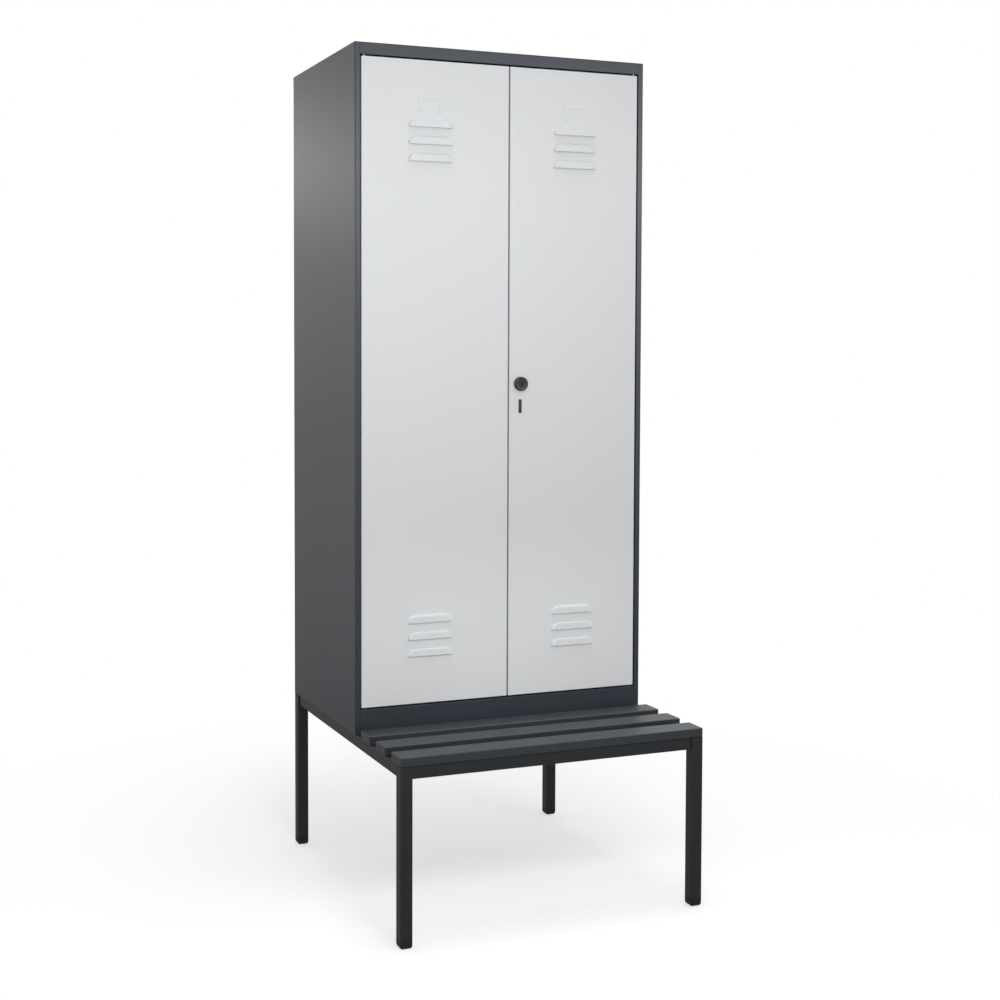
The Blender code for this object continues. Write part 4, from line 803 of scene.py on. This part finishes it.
def louvre_hood(sizes):
    """One hood, drawn at the origin: rings that rise from the sheet to a flat crown."""
    shape = bmesh.new()
    rings = []
    for inset, rise in louvre_profile(sizes):
        rings.append([shape.verts.new((across, -rise, up))
                      for across, up in louvre_line(sizes, inset)])
    for low, high in zip(rings, rings[1:]):
        for place in range(len(low) - 1):
            shape.faces.new((low[place], low[place + 1], high[place + 1], high[place]))
    shape.faces.new(rings[-1])
    edge = [ring[0] for ring in rings] + [ring[-1] for ring in reversed(rings)]
    lip = edge
    for step in range(1, FOLD_STEPS + 1):
        turn = math.radians(90 * step / FOLD_STEPS)
        row = []
        for vertex in edge:
            curl = sizes.louvre_curl * vertex.co.y / -sizes.louvre_rise
            row.append(shape.verts.new(vertex.co + Vector(
                (0, curl * (1 - math.cos(turn)), -curl * math.sin(turn)))))
        for place in range(len(row) - 1):
            shape.faces.new((lip[place], row[place], row[place + 1], lip[place + 1]))
        lip = row
    bmesh.ops.remove_doubles(shape, verts=shape.verts, dist=FINE_GAP)
    return to_mesh(faced_front(shape))


def faced_front(shape):
    """Point a sheet's faces to one side, so that its largest face looks to the front."""
    bmesh.ops.recalc_face_normals(shape, faces=shape.faces)
    if max(shape.faces, key=lambda face: face.calc_area()).normal.y > 0:
        bmesh.ops.reverse_faces(shape, faces=shape.faces)
    return shape


def louvre_starts(sizes, x):
    """The lowest louvre of each group: where its lower edge's middle stands."""
    upper = (DOOR_HIGH - sizes.upper_louvre_drop - sizes.louvre_height
             - (LOUVRES - 1) * sizes.louvre_pitch)
    return (x, FACE_Y, upper), (x, FACE_Y, DOOR_LOW + sizes.lower_louvre_height)


def smooth_step(value):
    """0 to 1 with no kink at either end."""
    value = min(max(value, 0.0), 1.0)
    return value * value * (3 - 2 * value)


def pad_rise(x, z, pad, slope):
    """How far a pressed pad, given by its middle, half sizes, corner and rise, stands out here."""
    middle_x, middle_z, half_x, half_z, corner, rise = pad
    out_x = abs(x - middle_x) - (half_x - corner)
    out_z = abs(z - middle_z) - (half_z - corner)
    outside = math.hypot(max(out_x, 0.0), max(out_z, 0.0)) + min(max(out_x, out_z), 0.0) - corner
    return rise * smooth_step(-outside / slope)


def label_patch(sizes, x):
    """The pressed label holder as a fine patch of the door's sheet; gives its mesh and rim."""
    top = DOOR_HIGH - sizes.label_drop
    half_rib = sizes.label_rib / 2
    rib_x = sizes.label_width / 2 - half_rib
    rib_z = top - sizes.label_height / 2
    bar_z = top - sizes.label_bar_drop - sizes.label_bar_height / 2
    pads = [(way * rib_x, rib_z, half_rib, sizes.label_height / 2, sizes.label_corner,
             sizes.label_rise) for way in (LEFT, RIGHT)]
    pads.append((0.0, bar_z, rib_x, sizes.label_bar_height / 2, sizes.label_slope / 2,
                 sizes.label_bar_rise))
    margin = 2 * sizes.label_grid
    half_width = sizes.label_width / 2 + margin
    low, high = top - sizes.label_height - margin, top + margin
    columns = round(2 * half_width / sizes.label_grid)
    lines = round((high - low) / sizes.label_grid)
    shape = bmesh.new()
    grid = []
    for line in range(lines + 1):
        z = low + (high - low) * line / lines
        row = []
        for column in range(columns + 1):
            across = -half_width + 2 * half_width * column / columns
            rise = max(pad_rise(across, z, pad, sizes.label_slope) for pad in pads)
            row.append(shape.verts.new((x + across, FACE_Y - rise, z)))
        grid.append(row)
    for lower, upper in zip(grid, grid[1:]):
        for place in range(columns):
            shape.faces.new((lower[place], lower[place + 1], upper[place + 1], upper[place]))
    rim = ([grid[0][place].co.copy() for place in range(columns)]
           + [row[-1].co.copy() for row in grid[:-1]]
           + [vertex.co.copy() for vertex in grid[-1][:0:-1]]
           + [row[0].co.copy() for row in grid[:0:-1]])
    return to_mesh(shape), [(point.x, point.z) for point in rim]


def door_rings(sizes, xs):
    """Rings round a door, from its front over the fold to the inner lip."""
    fold, depth = sizes.door_fold, sizes.door_depth
    profile = eased_profile(0.0, depth, fold, FOLD_STEPS) + [(sizes.door_lip, depth)]
    centre = ((xs[0] + xs[1]) / 2, (DOOR_LOW + DOOR_HIGH) / 2)
    rings = []
    for inset, back in profile:
        corner = max(sizes.door_corner - inset, sizes.inner_fold)
        outline = rounded_rectangle(xs[1] - xs[0] - 2 * inset, DOOR_HIGH - DOOR_LOW - 2 * inset,
                                    corner, FOLD_STEPS)
        rings.append([(centre[0] + x, FACE_Y + back, centre[1] + z) for x, z in outline])
    return rings


def door_skin(sizes, xs, loops):
    """The outer skin of a door's sheet: its front with openings, its sides and its lip."""
    shape = bmesh.new()
    rings = [[shape.verts.new(point) for point in ring] for ring in door_rings(sizes, xs)]
    for low, high in zip(rings, rings[1:]):
        bridge(shape, low, high)
    edges = [shape.edges.get(pair) for pair in zip(rings[0], rings[0][1:] + rings[0][:1])]
    for loop in loops:
        points = [shape.verts.new((x, FACE_Y, z)) for x, z in loop]
        edges += [shape.edges.new(pair) for pair in zip(points, points[1:] + points[:1])]
    bmesh.ops.triangle_fill(shape, use_beauty=True, edges=edges, normal=(0, -1, 0))
    return to_mesh(shape)


def pressed_door(side, sizes, extra_loops):
    """One door as thin sheet with its louvres and label holder, before its slots are cut."""
    low, high = LEFT_DOOR if side == LEFT else RIGHT_DOOR
    x = side * (CAD_BOX[1][0] - CAD_BOX[0][0]) / 4
    label, label_rim = label_patch(sizes, x)
    louvres = []
    loops = [label_rim] + extra_loops
    for start in louvre_starts(sizes, x):
        louvres.append(in_rows(louvre_hood(sizes), "door", start, (0, 0, sizes.louvre_pitch),
                               LOUVRES))
        for number in range(LOUVRES):
            bottom = start[2] + number * sizes.louvre_pitch
            loops.append([(x + across, bottom + up) for across, up in louvre_line(sizes, 0.0)])
    skin = joined(door_skin(sizes, (low.x, high.x), loops), label, *louvres)
    shape = bmesh.new()
    shape.from_mesh(skin)
    bpy.data.meshes.remove(skin)
    skin = to_mesh(faced_front(shape))
    count = len(skin.vertices)
    fronts = [place for place, vertex in enumerate(skin.vertices)
              if abs(vertex.co.y - FACE_Y) < JOIN_GAP]
    door = modified(skin, ("SOLIDIFY", {
        "thickness": sizes.sheet, "offset": -1.0, "use_even_offset": True}))
    # The inner corners follow the outer ones in order; those behind the front lie flat
    for place in fronts:
        door.vertices[count + place].co.y = FACE_Y + sizes.sheet
    door.update()
    return door


def rod_hole(rod, z, sizes):
    """A cutter for the hole in a door's upper or lower edge that a rod slides through."""
    low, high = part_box(rod)
    play = Vector((sizes.rod_play,) * 3)
    return box_shape(Vector((low.x, low.y, z - OVERRUN)) - play,
                     Vector((high.x, high.y, z + OVERRUN)) + play)


def tongue_slot(sizes, edge_x):
    """A cutter for the slot that the lock's tongue swings through."""
    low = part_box("lock_cam")[0]
    half_width = 2 * sizes.sheet
    return box_shape(
        (edge_x - half_width, low.y - sizes.sheet, low.z),
        (edge_x + half_width, low.y + sizes.tongue_slot_depth, KNOB_Z + sizes.tongue_slot_rise))


def bush_holes(name, sizes):
    """Cutters for the bushes in a door's upper and lower edge."""
    profile = [(0, -OVERRUN), (sizes.bush_hole, -OVERRUN), (sizes.bush_hole, OVERRUN), (0, OVERRUN)]
    shapes = []
    for end, z in (("upper", DOOR_HIGH), ("lower", DOOR_LOW)):
        bush = middle(f"{name}_{end}_door_bush")
        shapes.append(turned(profile, Matrix.Translation((bush.x, bush.y, z)), SCREW_STEPS))
    return shapes


class LOCKER_OT_doors(bpy.types.Operator):
    """Press and fold the two doors with their louvres and label holders"""

    bl_idname = "locker.doors"
    bl_label = "Doors"

    def execute(self, context):
        sizes = context.scene.locker_sizes
        plug = span("slot_plug")
        slot = [(KNOB_X + x, PLUG_Z + z) for x, z in rounded_rectangle(
            plug.x - 2 * sizes.sheet, plug.z - 2 * sizes.sheet, sizes.plug_corner - sizes.sheet)]
        lock_radius = span("lock_nut").x / 2 * LOCK_HOLE_SHARE
        lock_hole = round_points((KNOB_X, KNOB_Z), lock_radius, HOLE_STEPS)
        rods = (("upper_lock_rod", DOOR_HIGH), ("lower_lock_rod", DOOR_LOW))
        for side, name, seam_x, loops, outlets in (
                (LEFT, "left", LEFT_DOOR[1].x, [], ()),
                (RIGHT, "right", RIGHT_DOOR[0].x, [lock_hole, slot], rods)):
            mesh = pressed_door(side, sizes, loops)
            cutters = [tongue_slot(sizes, seam_x)] + bush_holes(name, sizes)
            cutters += [rod_hole(rod, z, sizes) for rod, z in outlets]
            mesh = shaded(cut(mesh, gathered(*cutters)), sizes.sheet)
            node = name + "_door"
            add_piece(node + "_pressing", mesh, "door", name + "_leaf", [node])
        return {"FINISHED"}


# Lock

# How the knob's rim runs from its bore: outwards and back, in millimetres
KNOB_RIM = ((0.0, 0.2), (0.2, 0.0), (1.6, 0.0), (2.0, 0.3))
# Where the floor of its dish begins to ease: in from the floor's edge and forwards, likewise
DISH_EASE = (0.8, 0.1)
# Shares of the dish's sloping side at which it is drawn
DISH_SHARES = (0.15, 0.3, 0.45, 0.6, 0.75, 0.9, 1.0)


def knob_profile(sizes, radius, front, bore, seat):
    """(radius, depth) points of the knob, from its cylinder's seat round to its stem's tip."""
    back, roof = -sizes.knob_gap, -sizes.knob_hollow_roof
    edge, back_edge = sizes.knob_round, sizes.knob_back_round
    inner, floor = sizes.knob_dish_floor, front + sizes.knob_dish
    profile = [(0, seat), (bore, seat)]
    profile += [(bore + out * MM, front + inwards * MM) for out, inwards in KNOB_RIM]
    profile += [(inner - DISH_EASE[0] * MM, floor - DISH_EASE[1] * MM), (inner, floor)]
    profile += [(inner + (sizes.knob_dish_edge - inner) * share,
                 floor - sizes.knob_dish * smooth_step(share)) for share in DISH_SHARES]
    profile += arc((radius - edge, front + edge), (edge, edge), -90, 0, KNOB_STEPS)
    profile += arc((radius - back_edge, back - back_edge), (back_edge, back_edge), 0, 90,
                   FOLD_STEPS)
    return profile + [
        (sizes.knob_hollow, back), (sizes.knob_hollow, roof), (sizes.knob_stem, roof),
        (sizes.knob_stem, sizes.knob_stem_reach), (sizes.knob_tip, sizes.knob_stem_reach),
        (sizes.knob_tip, sizes.knob_tip_reach), (0, sizes.knob_tip_reach)]


class LOCKER_OT_knob(bpy.types.Operator):
    """Turn the knob with its dished front, and the key cylinder with its keyway"""

    bl_idname = "locker.knob"
    bl_label = "Knob and cylinder"

    def execute(self, context):
        sizes = context.scene.locker_sizes
        place = facing(KNOB_X, KNOB_Z)
        low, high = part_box("lock_cylinder")
        reach, bevel = (high.x - low.x) / 2, sizes.cylinder_bevel
        face, end = low.y - FACE_Y, high.y - FACE_Y
        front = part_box("lock_knob")[0].y - FACE_Y
        profile = knob_profile(sizes, span("lock_knob").x / 2, front, reach + sizes.gap,
                               end + sizes.gap)
        knob = shaded(to_mesh(turned(profile, place)))
        add_piece("lock_knob_turned", knob, "knob", "knob", ["lock_knob"])
        barrel = turned([(0, face), (reach - bevel, face), (reach, face + bevel), (reach, end),
                         (0, end)], place)
        half_width, half_height = sizes.keyway_width / 2, sizes.keyway_height / 2
        keyway = box_shape(
            (KNOB_X - half_width, low.y - OVERRUN, KNOB_Z - half_height),
            (KNOB_X + half_width, low.y + sizes.keyway_depth, KNOB_Z + half_height))
        cylinder = shaded(cut(to_mesh(barrel), keyway))
        add_piece("lock_cylinder_cut", cylinder, "dark_nickel", "key_barrel",
                  ["lock_cylinder"])
        return {"FINISHED"}


class LOCKER_OT_plug(bpy.types.Operator):
    """Mould the plug that fills the slot under the knob"""

    bl_idname = "locker.plug"
    bl_label = "Slot plug"

    def execute(self, context):
        sizes = context.scene.locker_sizes
        low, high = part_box("slot_plug")
        front, back, crown = low.y - FACE_Y, high.y - FACE_Y, sizes.plug_crown
        profile = [(sizes.plug_flat, front)]
        profile += arc((crown, front + crown), (-crown, crown), -90, 0, FOLD_STEPS)
        profile += [(0.0, -sizes.gap), (sizes.plug_foot, -sizes.gap), (sizes.plug_foot, back)]
        size = (high.x - low.x, high.z - low.z)
        shape = placed(stacked(size, sizes.plug_corner, profile), facing(KNOB_X, PLUG_Z))
        add_piece("slot_plug_moulded", shaded(to_mesh(shape)), "knob", "right_leaf",
                  ["slot_plug"])
        return {"FINISHED"}


class LOCKER_OT_lock_works(bpy.types.Operator):
    """Take the sharp edges off the lock's cam, rods, nut and guides, and finish the cam screw, lock
    body and hinge pieces
    """

    bl_idname = "locker.lock_works"
    bl_label = "Lock works and hinges"

    def execute(self, context):
        sizes = context.scene.locker_sizes
        edge = sizes.small_edge
        for node, finish, body, slot in (
                ("lock_cam", "zinc", "knob", "zinc"),
                ("upper_lock_rod", "zinc", "upper_rod", "zinc"),
                ("lower_lock_rod", "zinc", "lower_rod", "zinc"),
                ("lock_nut", "nickel", "right_leaf", "pin"),
                ("upper_rod_guide", "nylon", "right_leaf", "bush"),
                ("lower_rod_guide", "nylon", "right_leaf", "bush")):
            add_piece(node + "_eased", bevelled(node, edge), finish, body, [node])
        refinish("zinc", "cam_screw")
        refinish("nickel", "lock_body")
        for side in SIDES:
            for end in ("upper", "lower"):
                refinish("nickel", f"{side}_{end}_hinge_pin")
                refinish("nylon", f"{side}_{end}_door_bush")
        return {"FINISHED"}


# Inside the compartments

class LOCKER_OT_rails_and_hooks(bpy.types.Operator):
    """Draw the garment rails and round off the coat hooks that slide on them"""

    bl_idname = "locker.rails_and_hooks"
    bl_label = "Garment rails and hooks"

    def execute(self, context):
        sizes = context.scene.locker_sizes
        for side in SIDES:
            node = side + "_garment_rail"
            low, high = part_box(node)
            centre, length = (low + high) / 2, high.x - low.x
            radius, edge = (high.z - low.z) / 2, sizes.small_edge
            inner = radius - sizes.rail_wall
            profile = [(inner, 0), (radius - edge, 0), (radius, edge), (radius, length - edge),
                       (radius - edge, length), (inner, length)]
            place = Matrix.Translation((low.x, centre.y, centre.z)) @ ALONG_X
            add_piece(node + "_drawn", shaded(to_mesh(turned(profile, place))), "chrome", "carcass",
                      [node])
            for number in (1, 2, 3):
                node = f"{side}_coat_hook_{number}"
                add_piece(node + "_moulded", bevelled(node, sizes.hook_edge, HOOK_STEPS), "knob",
                          f"{side}_hook_{number}", [node])
        return {"FINISHED"}


class LOCKER_OT_buffer_strip(bpy.types.Operator):
    """Finish the rubber strip that the doors close against"""

    bl_idname = "locker.buffer_strip"
    bl_label = "Buffer strip"

    def execute(self, context):
        refinish("rubber", "door_buffer_strip")
        return {"FINISHED"}


# Bench and frame

# Shares that shape a screw: the flat of its point, the bevel of its flange across and up, and
# the crown of its head across and down
POINT_FLAT = 0.35
FLANGE_BEVEL = (0.93, 0.6)
HEAD_CROWN = (0.86, 0.25)
HEAD_SIDES = 6
# Where on its quarter ellipse a foot cap's shoulder begins, just over the sole
CAP_START_DEG = -80


def add_at_corners(name, mesh, finish, kind, height):
    """Stand a mesh at the cabinet's or the frame's corners, in place of four solids of a kind."""
    first, far = middle(f"left_front_{kind}"), middle(f"right_rear_{kind}")
    step = far - first
    four = in_rows(mesh, finish, (first.x, first.y, height), (step.x, 0, 0), 2, (0, step.y, 0), 2)
    nodes = [f"{side}_{end}_{kind}" for side in SIDES for end in ("front", "rear")]
    add_piece(name, shaded(four), finish, "carcass", nodes)


def hex_screw(radius, flats, head, flange_radius, flange, point):
    """A screw that stands head down, its flange's top at the origin and its point above."""
    shank = turned([(0, point), (radius * POINT_FLAT, point), (radius, point - radius),
                    (radius, -flange / 2), (0, -flange / 2)], Matrix(), SCREW_STEPS)
    washer = turned([(0, -flange), (flange_radius * FLANGE_BEVEL[0], -flange),
                     (flange_radius, -flange * FLANGE_BEVEL[1]), (flange_radius, 0), (0, 0)],
                    Matrix(), FLANGE_STEPS)
    corners = round_points((0, 0), flats / math.sqrt(3), HEAD_SIDES)
    crown, drop = HEAD_CROWN
    head_shape = shell([[(x * share, y * share, z) for x, y in corners] for share, z in (
        (1.0, -flange / 2), (1.0, -head + radius * drop), (crown, -head))])
    return to_mesh(gathered(shank, washer, head_shape))


class LOCKER_OT_frame(bpy.types.Operator):
    """Set up the square legs and the rails of the welded frame"""

    bl_idname = "locker.frame"
    bl_label = "Frame tubes"

    def execute(self, context):
        sizes = context.scene.locker_sizes
        leg = span("left_front_leg")
        mesh = tube(leg.x, leg.x, sizes.tube_round, sizes.leg_wall, leg.z, "tube")
        add_at_corners("legs_tube", mesh, "tube", "leg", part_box("left_front_leg")[0].z)
        for name, nodes, turn, axis in (
                ("side_rails_tube", ["left_side_rail", "right_side_rail"], ALONG_Y, 1),
                ("cross_rails_tube", ["front_rail", "rear_rail"], ALONG_X, 0),
                ("middle_rail_tube", ["middle_rail"], ALONG_X, 0)):
            first, last = middle(nodes[0]), middle(nodes[-1])
            size = span(nodes[0])
            mesh = tube(min(size.x, size.y), size.z, sizes.tube_round, sizes.rail_wall,
                        size[axis] + 2 * sizes.weld, "tube")
            mesh.transform(turn)
            start = first.copy()
            start[axis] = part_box(nodes[0])[0][axis] - sizes.weld
            mesh = in_rows(mesh, "tube", start, last - first, len(nodes))
            add_piece(name, shaded(mesh), "tube", "carcass", nodes)
        return {"FINISHED"}


class LOCKER_OT_foot_caps(bpy.types.Operator):
    """Mould the narrowing caps that the legs stand on"""

    bl_idname = "locker.foot_caps"
    bl_label = "Foot caps"

    def execute(self, context):
        sizes = context.scene.locker_sizes
        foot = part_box("left_front_foot_cap")[0].z
        size = span("left_front_foot_cap").x
        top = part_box("left_front_leg")[0].z - sizes.gap
        narrow, shoulder, lip = (size - sizes.cap_sole) / 2, sizes.cap_shoulder, sizes.cap_lip
        plug = sizes.leg_wall + sizes.gap
        profile = [(narrow + 2 * lip, 0.0), (narrow + lip, sizes.cap_sole_rise)]
        profile += arc((narrow, shoulder), (-narrow, shoulder), CAP_START_DEG, 0, CAP_STEPS)
        profile += [(0.0, top - lip), (lip, top), (plug, top), (plug, top + sizes.cap_plug)]
        shape = stacked((size, size), sizes.tube_round, profile)
        add_at_corners("foot_caps_moulded", to_mesh(shape), "rubber", "foot_cap", foot)
        return {"FINISHED"}


class LOCKER_OT_slats(bpy.types.Operator):
    """Lay the seat's slats and drive their screws up through the side rails"""

    bl_idname = "locker.slats"
    bl_label = "Seat slats"

    def execute(self, context):
        sizes = context.scene.locker_sizes
        nodes = [place + "_bench_slat" for place in ("front", "middle", "rear")]
        low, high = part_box(nodes[0])
        centre, size = (low + high) / 2, high - low
        pitch = middle(nodes[1]).y - centre.y
        shape = stacked((size.x, size.y), sizes.slat_corner,
                        eased_profile(0.0, size.z, sizes.slat_round))
        slats = in_rows(to_mesh(shape), "slat", (centre.x, centre.y, low.z), (0, pitch, 0),
                        len(nodes))
        add_piece("bench_slats_extruded", shaded(slats), "slat", "carcass", nodes)
        rail_x, rail_z = middle("left_side_rail").x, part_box("left_side_rail")[0].z
        screw = hex_screw(sizes.screw_radius, sizes.screw_flats, sizes.screw_head,
                          sizes.washer_radius, sizes.washer_height,
                          low.z + sizes.screw_bite - rail_z)
        start = (rail_x, high.y - sizes.screw_inset, rail_z - sizes.screw_gap)
        screws = in_rows(screw, "zinc", start, (0, pitch, 0), len(nodes), (-2 * rail_x, 0, 0), 2)
        add_piece("slat_screws", shaded(screws), "zinc", "carcass")
        return {"FINISHED"}


class LOCKER_OT_cabinet_bolts(bpy.types.Operator):
    """Drive the bolts that hold the cabinet down on the frame"""

    bl_idname = "locker.cabinet_bolts"
    bl_label = "Cabinet bolts"

    def execute(self, context):
        sizes = context.scene.locker_sizes
        low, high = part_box("left_front_cabinet_bolt")
        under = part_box("middle_rail")[0].z - sizes.gap
        bolt = hex_screw(sizes.bolt_radius, high.y - low.y, under - low.z, sizes.bolt_flange,
                         sizes.bolt_flange_height, high.z - under)
        add_at_corners("cabinet_bolts_hex", bolt, "zinc", "cabinet_bolt", under)
        return {"FINISHED"}


# Stage

# How strongly the room lights; where the floor fades into it, in metres; what makes it white
ROOM_LIGHT = 0.50
FLOOR_FADE = (0.75, 1.9)
FLOOR_LIFT = 0.55
FLOOR_CAST = {"spread": 0.004, "size_mm": 666.7}

# The photograph's point of view: lens in millimetres, place in metres and turns in degrees
CAMERA_LENS = 53.12
CAMERA_SHIFT = (0.1265, -0.08)
CAMERA_PLACE = (-1.6124, -3.4978, 1.359)
CAMERA_DOWN = 2.461
CAMERA_ASIDE = 20.337

# Soft lamps: name, place, the point that they face, size, watts, and spread in degrees
SOFTBOXES = (
    ("front softbox", (-0.5, -1.75, 1.74), (0, -0.1, 1.7), (0.8, 0.6), 11.5, 180),
    ("low softbox", (-0.1, -3.0, 0.6), (0, -0.1, 0.55), (1.6, 0.6), 13, 180),
    ("bench softbox", (0.0, -1.05, 0.95), (0, -0.1, 0.46), (0.9, 0.12), 0.42, 56),
    ("top softbox", (0.1, -0.65, 6.0), (0, -0.2, 0.5), (1.8, 1.8), 90, 180),
)


def upright(first_x, first_y, last_x, last_y, height):
    """Corners of a card that stands on the floor."""
    return ((first_x, first_y, 0.0), (last_x, last_y, 0.0), (last_x, last_y, height),
            (first_x, first_y, height))


# Cards that the finishes mirror: name, corners, and tones as (share of the height, brightness)
CARDS = (
    ("side_card", upright(-1.5, 2.0, -0.45, 1.0, 3.4),
     ((0.0, 0.3), (0.33, 0.6), (0.5, 1.0), (0.59, 2.0), (0.7, 0.75), (1.0, 0.7))),
    ("front_card", upright(-2.6, -1.5, 2.6, -1.5, 3.0),
     ((0.03, 0.05), (0.1, 0.3), (0.425, 1.1), (0.48, 1.4), (0.53, 1.7), (0.58, 2.3),
      (0.673, 7.6), (0.767, 1.1), (1.0, 0.3))),
    ("floor_card", ((-2.6, -1.5, 0.003), (2.6, -1.5, 0.003), (2.6, 2.0, 0.003),
                    (-2.6, 2.0, 0.003)), ((0.0, 0.28), (1.0, 0.28))),
)


def view_rays(tree):
    """1 for rays that look at the backdrop, straight or through a mirror or glass."""
    path = add_node(tree, "ShaderNodeLightPath")
    seen = path.outputs["Is Camera Ray"]
    for name in ("Is Glossy Ray", "Is Transmission Ray"):
        seen = add_node(tree, "ShaderNodeMath", {0: seen, 1: path.outputs[name]},
                        operation="MAXIMUM").outputs[0]
    return seen


def light_world(scene):
    """A world that looks white and lights softly from all round."""
    world = bpy.data.worlds.new("white room")
    scene.world = world
    world.use_nodes = True
    tree = world.node_tree
    tree.nodes.clear()
    room, seen = (add_node(tree, "ShaderNodeBackground", {"Color": WHITE, "Strength": strength})
                  for strength in (ROOM_LIGHT, 1.0))
    mix = add_node(tree, "ShaderNodeMixShader", {
        0: view_rays(tree), 1: room.outputs["Background"], 2: seen.outputs["Background"]})
    add_node(tree, "ShaderNodeOutputWorld", {"Surface": mix.outputs["Shader"]})


def floor_finish(colours):
    """Matt white floor that holds the shadow near the object and fades into the white room."""
    material, tree, shader, place = new_finish("matt white floor")
    shader.inputs["Roughness"].default_value = 0.9
    shader.inputs["Specular IOR Level"].default_value = 0.1
    shader.inputs["Emission Color"].default_value = WHITE
    add_cast(tree, shader, place, colours.floor, **FLOOR_CAST)
    away = add_node(tree, "ShaderNodeVectorMath", {0: place}, operation="LENGTH")
    fade = add_node(tree, "ShaderNodeMapRange", {
        "Value": away.outputs["Value"], "From Min": FLOOR_FADE[0], "From Max": FLOOR_FADE[1]},
        interpolation_type="SMOOTHSTEP")
    seen = view_rays(tree)
    lift, share = (add_node(tree, "ShaderNodeMath", {0: seen, 1: value}, operation="MULTIPLY")
                   for value in (FLOOR_LIFT, fade.outputs["Result"]))
    tree.links.new(lift.outputs[0], shader.inputs["Emission Strength"])
    white = add_node(tree, "ShaderNodeEmission", {"Color": WHITE, "Strength": 1.0})
    mix = add_node(tree, "ShaderNodeMixShader", {
        0: share.outputs[0], 1: shader.outputs["BSDF"], 2: white.outputs["Emission"]})
    tree.links.new(mix.outputs["Shader"], tree.nodes["Material Output"].inputs["Surface"])
    return material


def add_softbox(name, place, aim, size, watts, spread_deg):
    """A large soft lamp that faces a point."""
    lamp = bpy.data.lights.new(name, "AREA")
    lamp.shape = "RECTANGLE"
    lamp.size, lamp.size_y = size
    lamp.energy = watts
    lamp.spread = math.radians(spread_deg)
    item = linked(name, lamp)
    item.visible_camera = item.visible_glossy = False
    item.location = place
    item.rotation_euler = (Vector(aim) - Vector(place)).to_track_quat("-Z", "Y").to_euler()


def add_card(name, corners, tones):
    """A studio card that only mirrors in the finishes; its tones go from its foot to its top."""
    shape = bmesh.new()
    shape.faces.new([shape.verts.new(corner) for corner in corners])
    card = linked(name, to_mesh(shape, name))
    material, tree, _, place = new_finish("studio card")
    up = add_node(tree, "ShaderNodeSeparateXYZ", {"Vector": place})
    share = add_node(tree, "ShaderNodeMath", {0: up.outputs["Z"], 1: corners[-1][2]},
                     operation="DIVIDE")
    ramp = add_node(tree, "ShaderNodeValToRGB", {"Fac": share.outputs[0]})
    stops = ramp.color_ramp.elements
    for number, (position, tone) in enumerate(tones):
        stop = stops[number] if number < len(stops) else stops.new(position)
        stop.position = position
        stop.color = (tone, tone, tone, 1.0)
    glow = add_node(tree, "ShaderNodeEmission", {"Color": ramp.outputs["Color"], "Strength": 1.0})
    tree.links.new(glow.outputs["Emission"], tree.nodes["Material Output"].inputs["Surface"])
    card.data.materials.append(material)
    card.visible_camera = card.visible_diffuse = card.visible_shadow = False


def add_camera(scene):
    """The camera that looks at the object from the photograph's point of view."""
    camera = bpy.data.cameras.new("photograph view")
    camera.lens = CAMERA_LENS
    camera.shift_x, camera.shift_y = CAMERA_SHIFT
    item = linked("photograph view", camera)
    item.location = CAMERA_PLACE
    item.rotation_euler = (math.radians(90 - CAMERA_DOWN), 0, math.radians(-CAMERA_ASIDE))
    scene.camera = item


class LOCKER_OT_stage(bpy.types.Operator):
    """Set up the floor, the soft light and the camera"""

    bl_idname = "locker.stage"
    bl_label = "Stage"

    def execute(self, context):
        scene = context.scene
        scene.view_settings.view_transform = "Standard"
        light_world(scene)
        shape = bmesh.new()
        bmesh.ops.create_circle(shape, cap_ends=True, segments=FLOOR_SIDES,
                                radius=scene.locker_sizes.floor_reach)
        floor = linked("floor", to_mesh(shape, "floor"))
        floor.data.materials.append(floor_finish(scene.locker_colours))
        for softbox in SOFTBOXES:
            add_softbox(*softbox)
        for card in CARDS:
            add_card(*card)
        add_camera(scene)
        return {"FINISHED"}


MAKERS = (
    LOCKER_OT_stage, LOCKER_OT_panels, LOCKER_OT_doors, LOCKER_OT_knob, LOCKER_OT_plug,
    LOCKER_OT_lock_works, LOCKER_OT_rails_and_hooks, LOCKER_OT_buffer_strip, LOCKER_OT_frame,
    LOCKER_OT_foot_caps, LOCKER_OT_slats, LOCKER_OT_cabinet_bolts,
)


class LOCKER_PT_pieces(bpy.types.Panel):
    """The locker's pieces, sizes and colours"""

    bl_idname = "LOCKER_PT_pieces"
    bl_label = "Locker with bench"
    bl_space_type = "VIEW_3D"
    bl_region_type = "UI"
    bl_category = "Locker"

    def draw(self, context):
        for maker in MAKERS:
            self.layout.operator(maker.bl_idname, text=maker.bl_label)
        for group in (context.scene.locker_sizes, context.scene.locker_colours):
            box = self.layout.box()
            for name in group.__annotations__:
                box.prop(group, name)


CLASSES = (LockerSizes, LockerColours, *MAKERS, LOCKER_PT_pieces)


def register():
    """Make the sizes, the colours, the makers and the panel known."""
    for item in CLASSES:
        bpy.utils.register_class(item)
    bpy.types.Scene.locker_sizes = bpy.props.PointerProperty(type=LockerSizes)
    bpy.types.Scene.locker_colours = bpy.props.PointerProperty(type=LockerColours)


def unregister():
    """Take them away again."""
    del bpy.types.Scene.locker_colours
    del bpy.types.Scene.locker_sizes
    for item in reversed(CLASSES):
        bpy.utils.unregister_class(item)


def main():
    """Make every piece."""
    register()
    make_finishes(bpy.context.scene.locker_colours)
    for maker in MAKERS:
        group, name = maker.bl_idname.split(".")
        getattr(getattr(bpy.ops, group), name)()


if __name__ == "__main__":
    main()
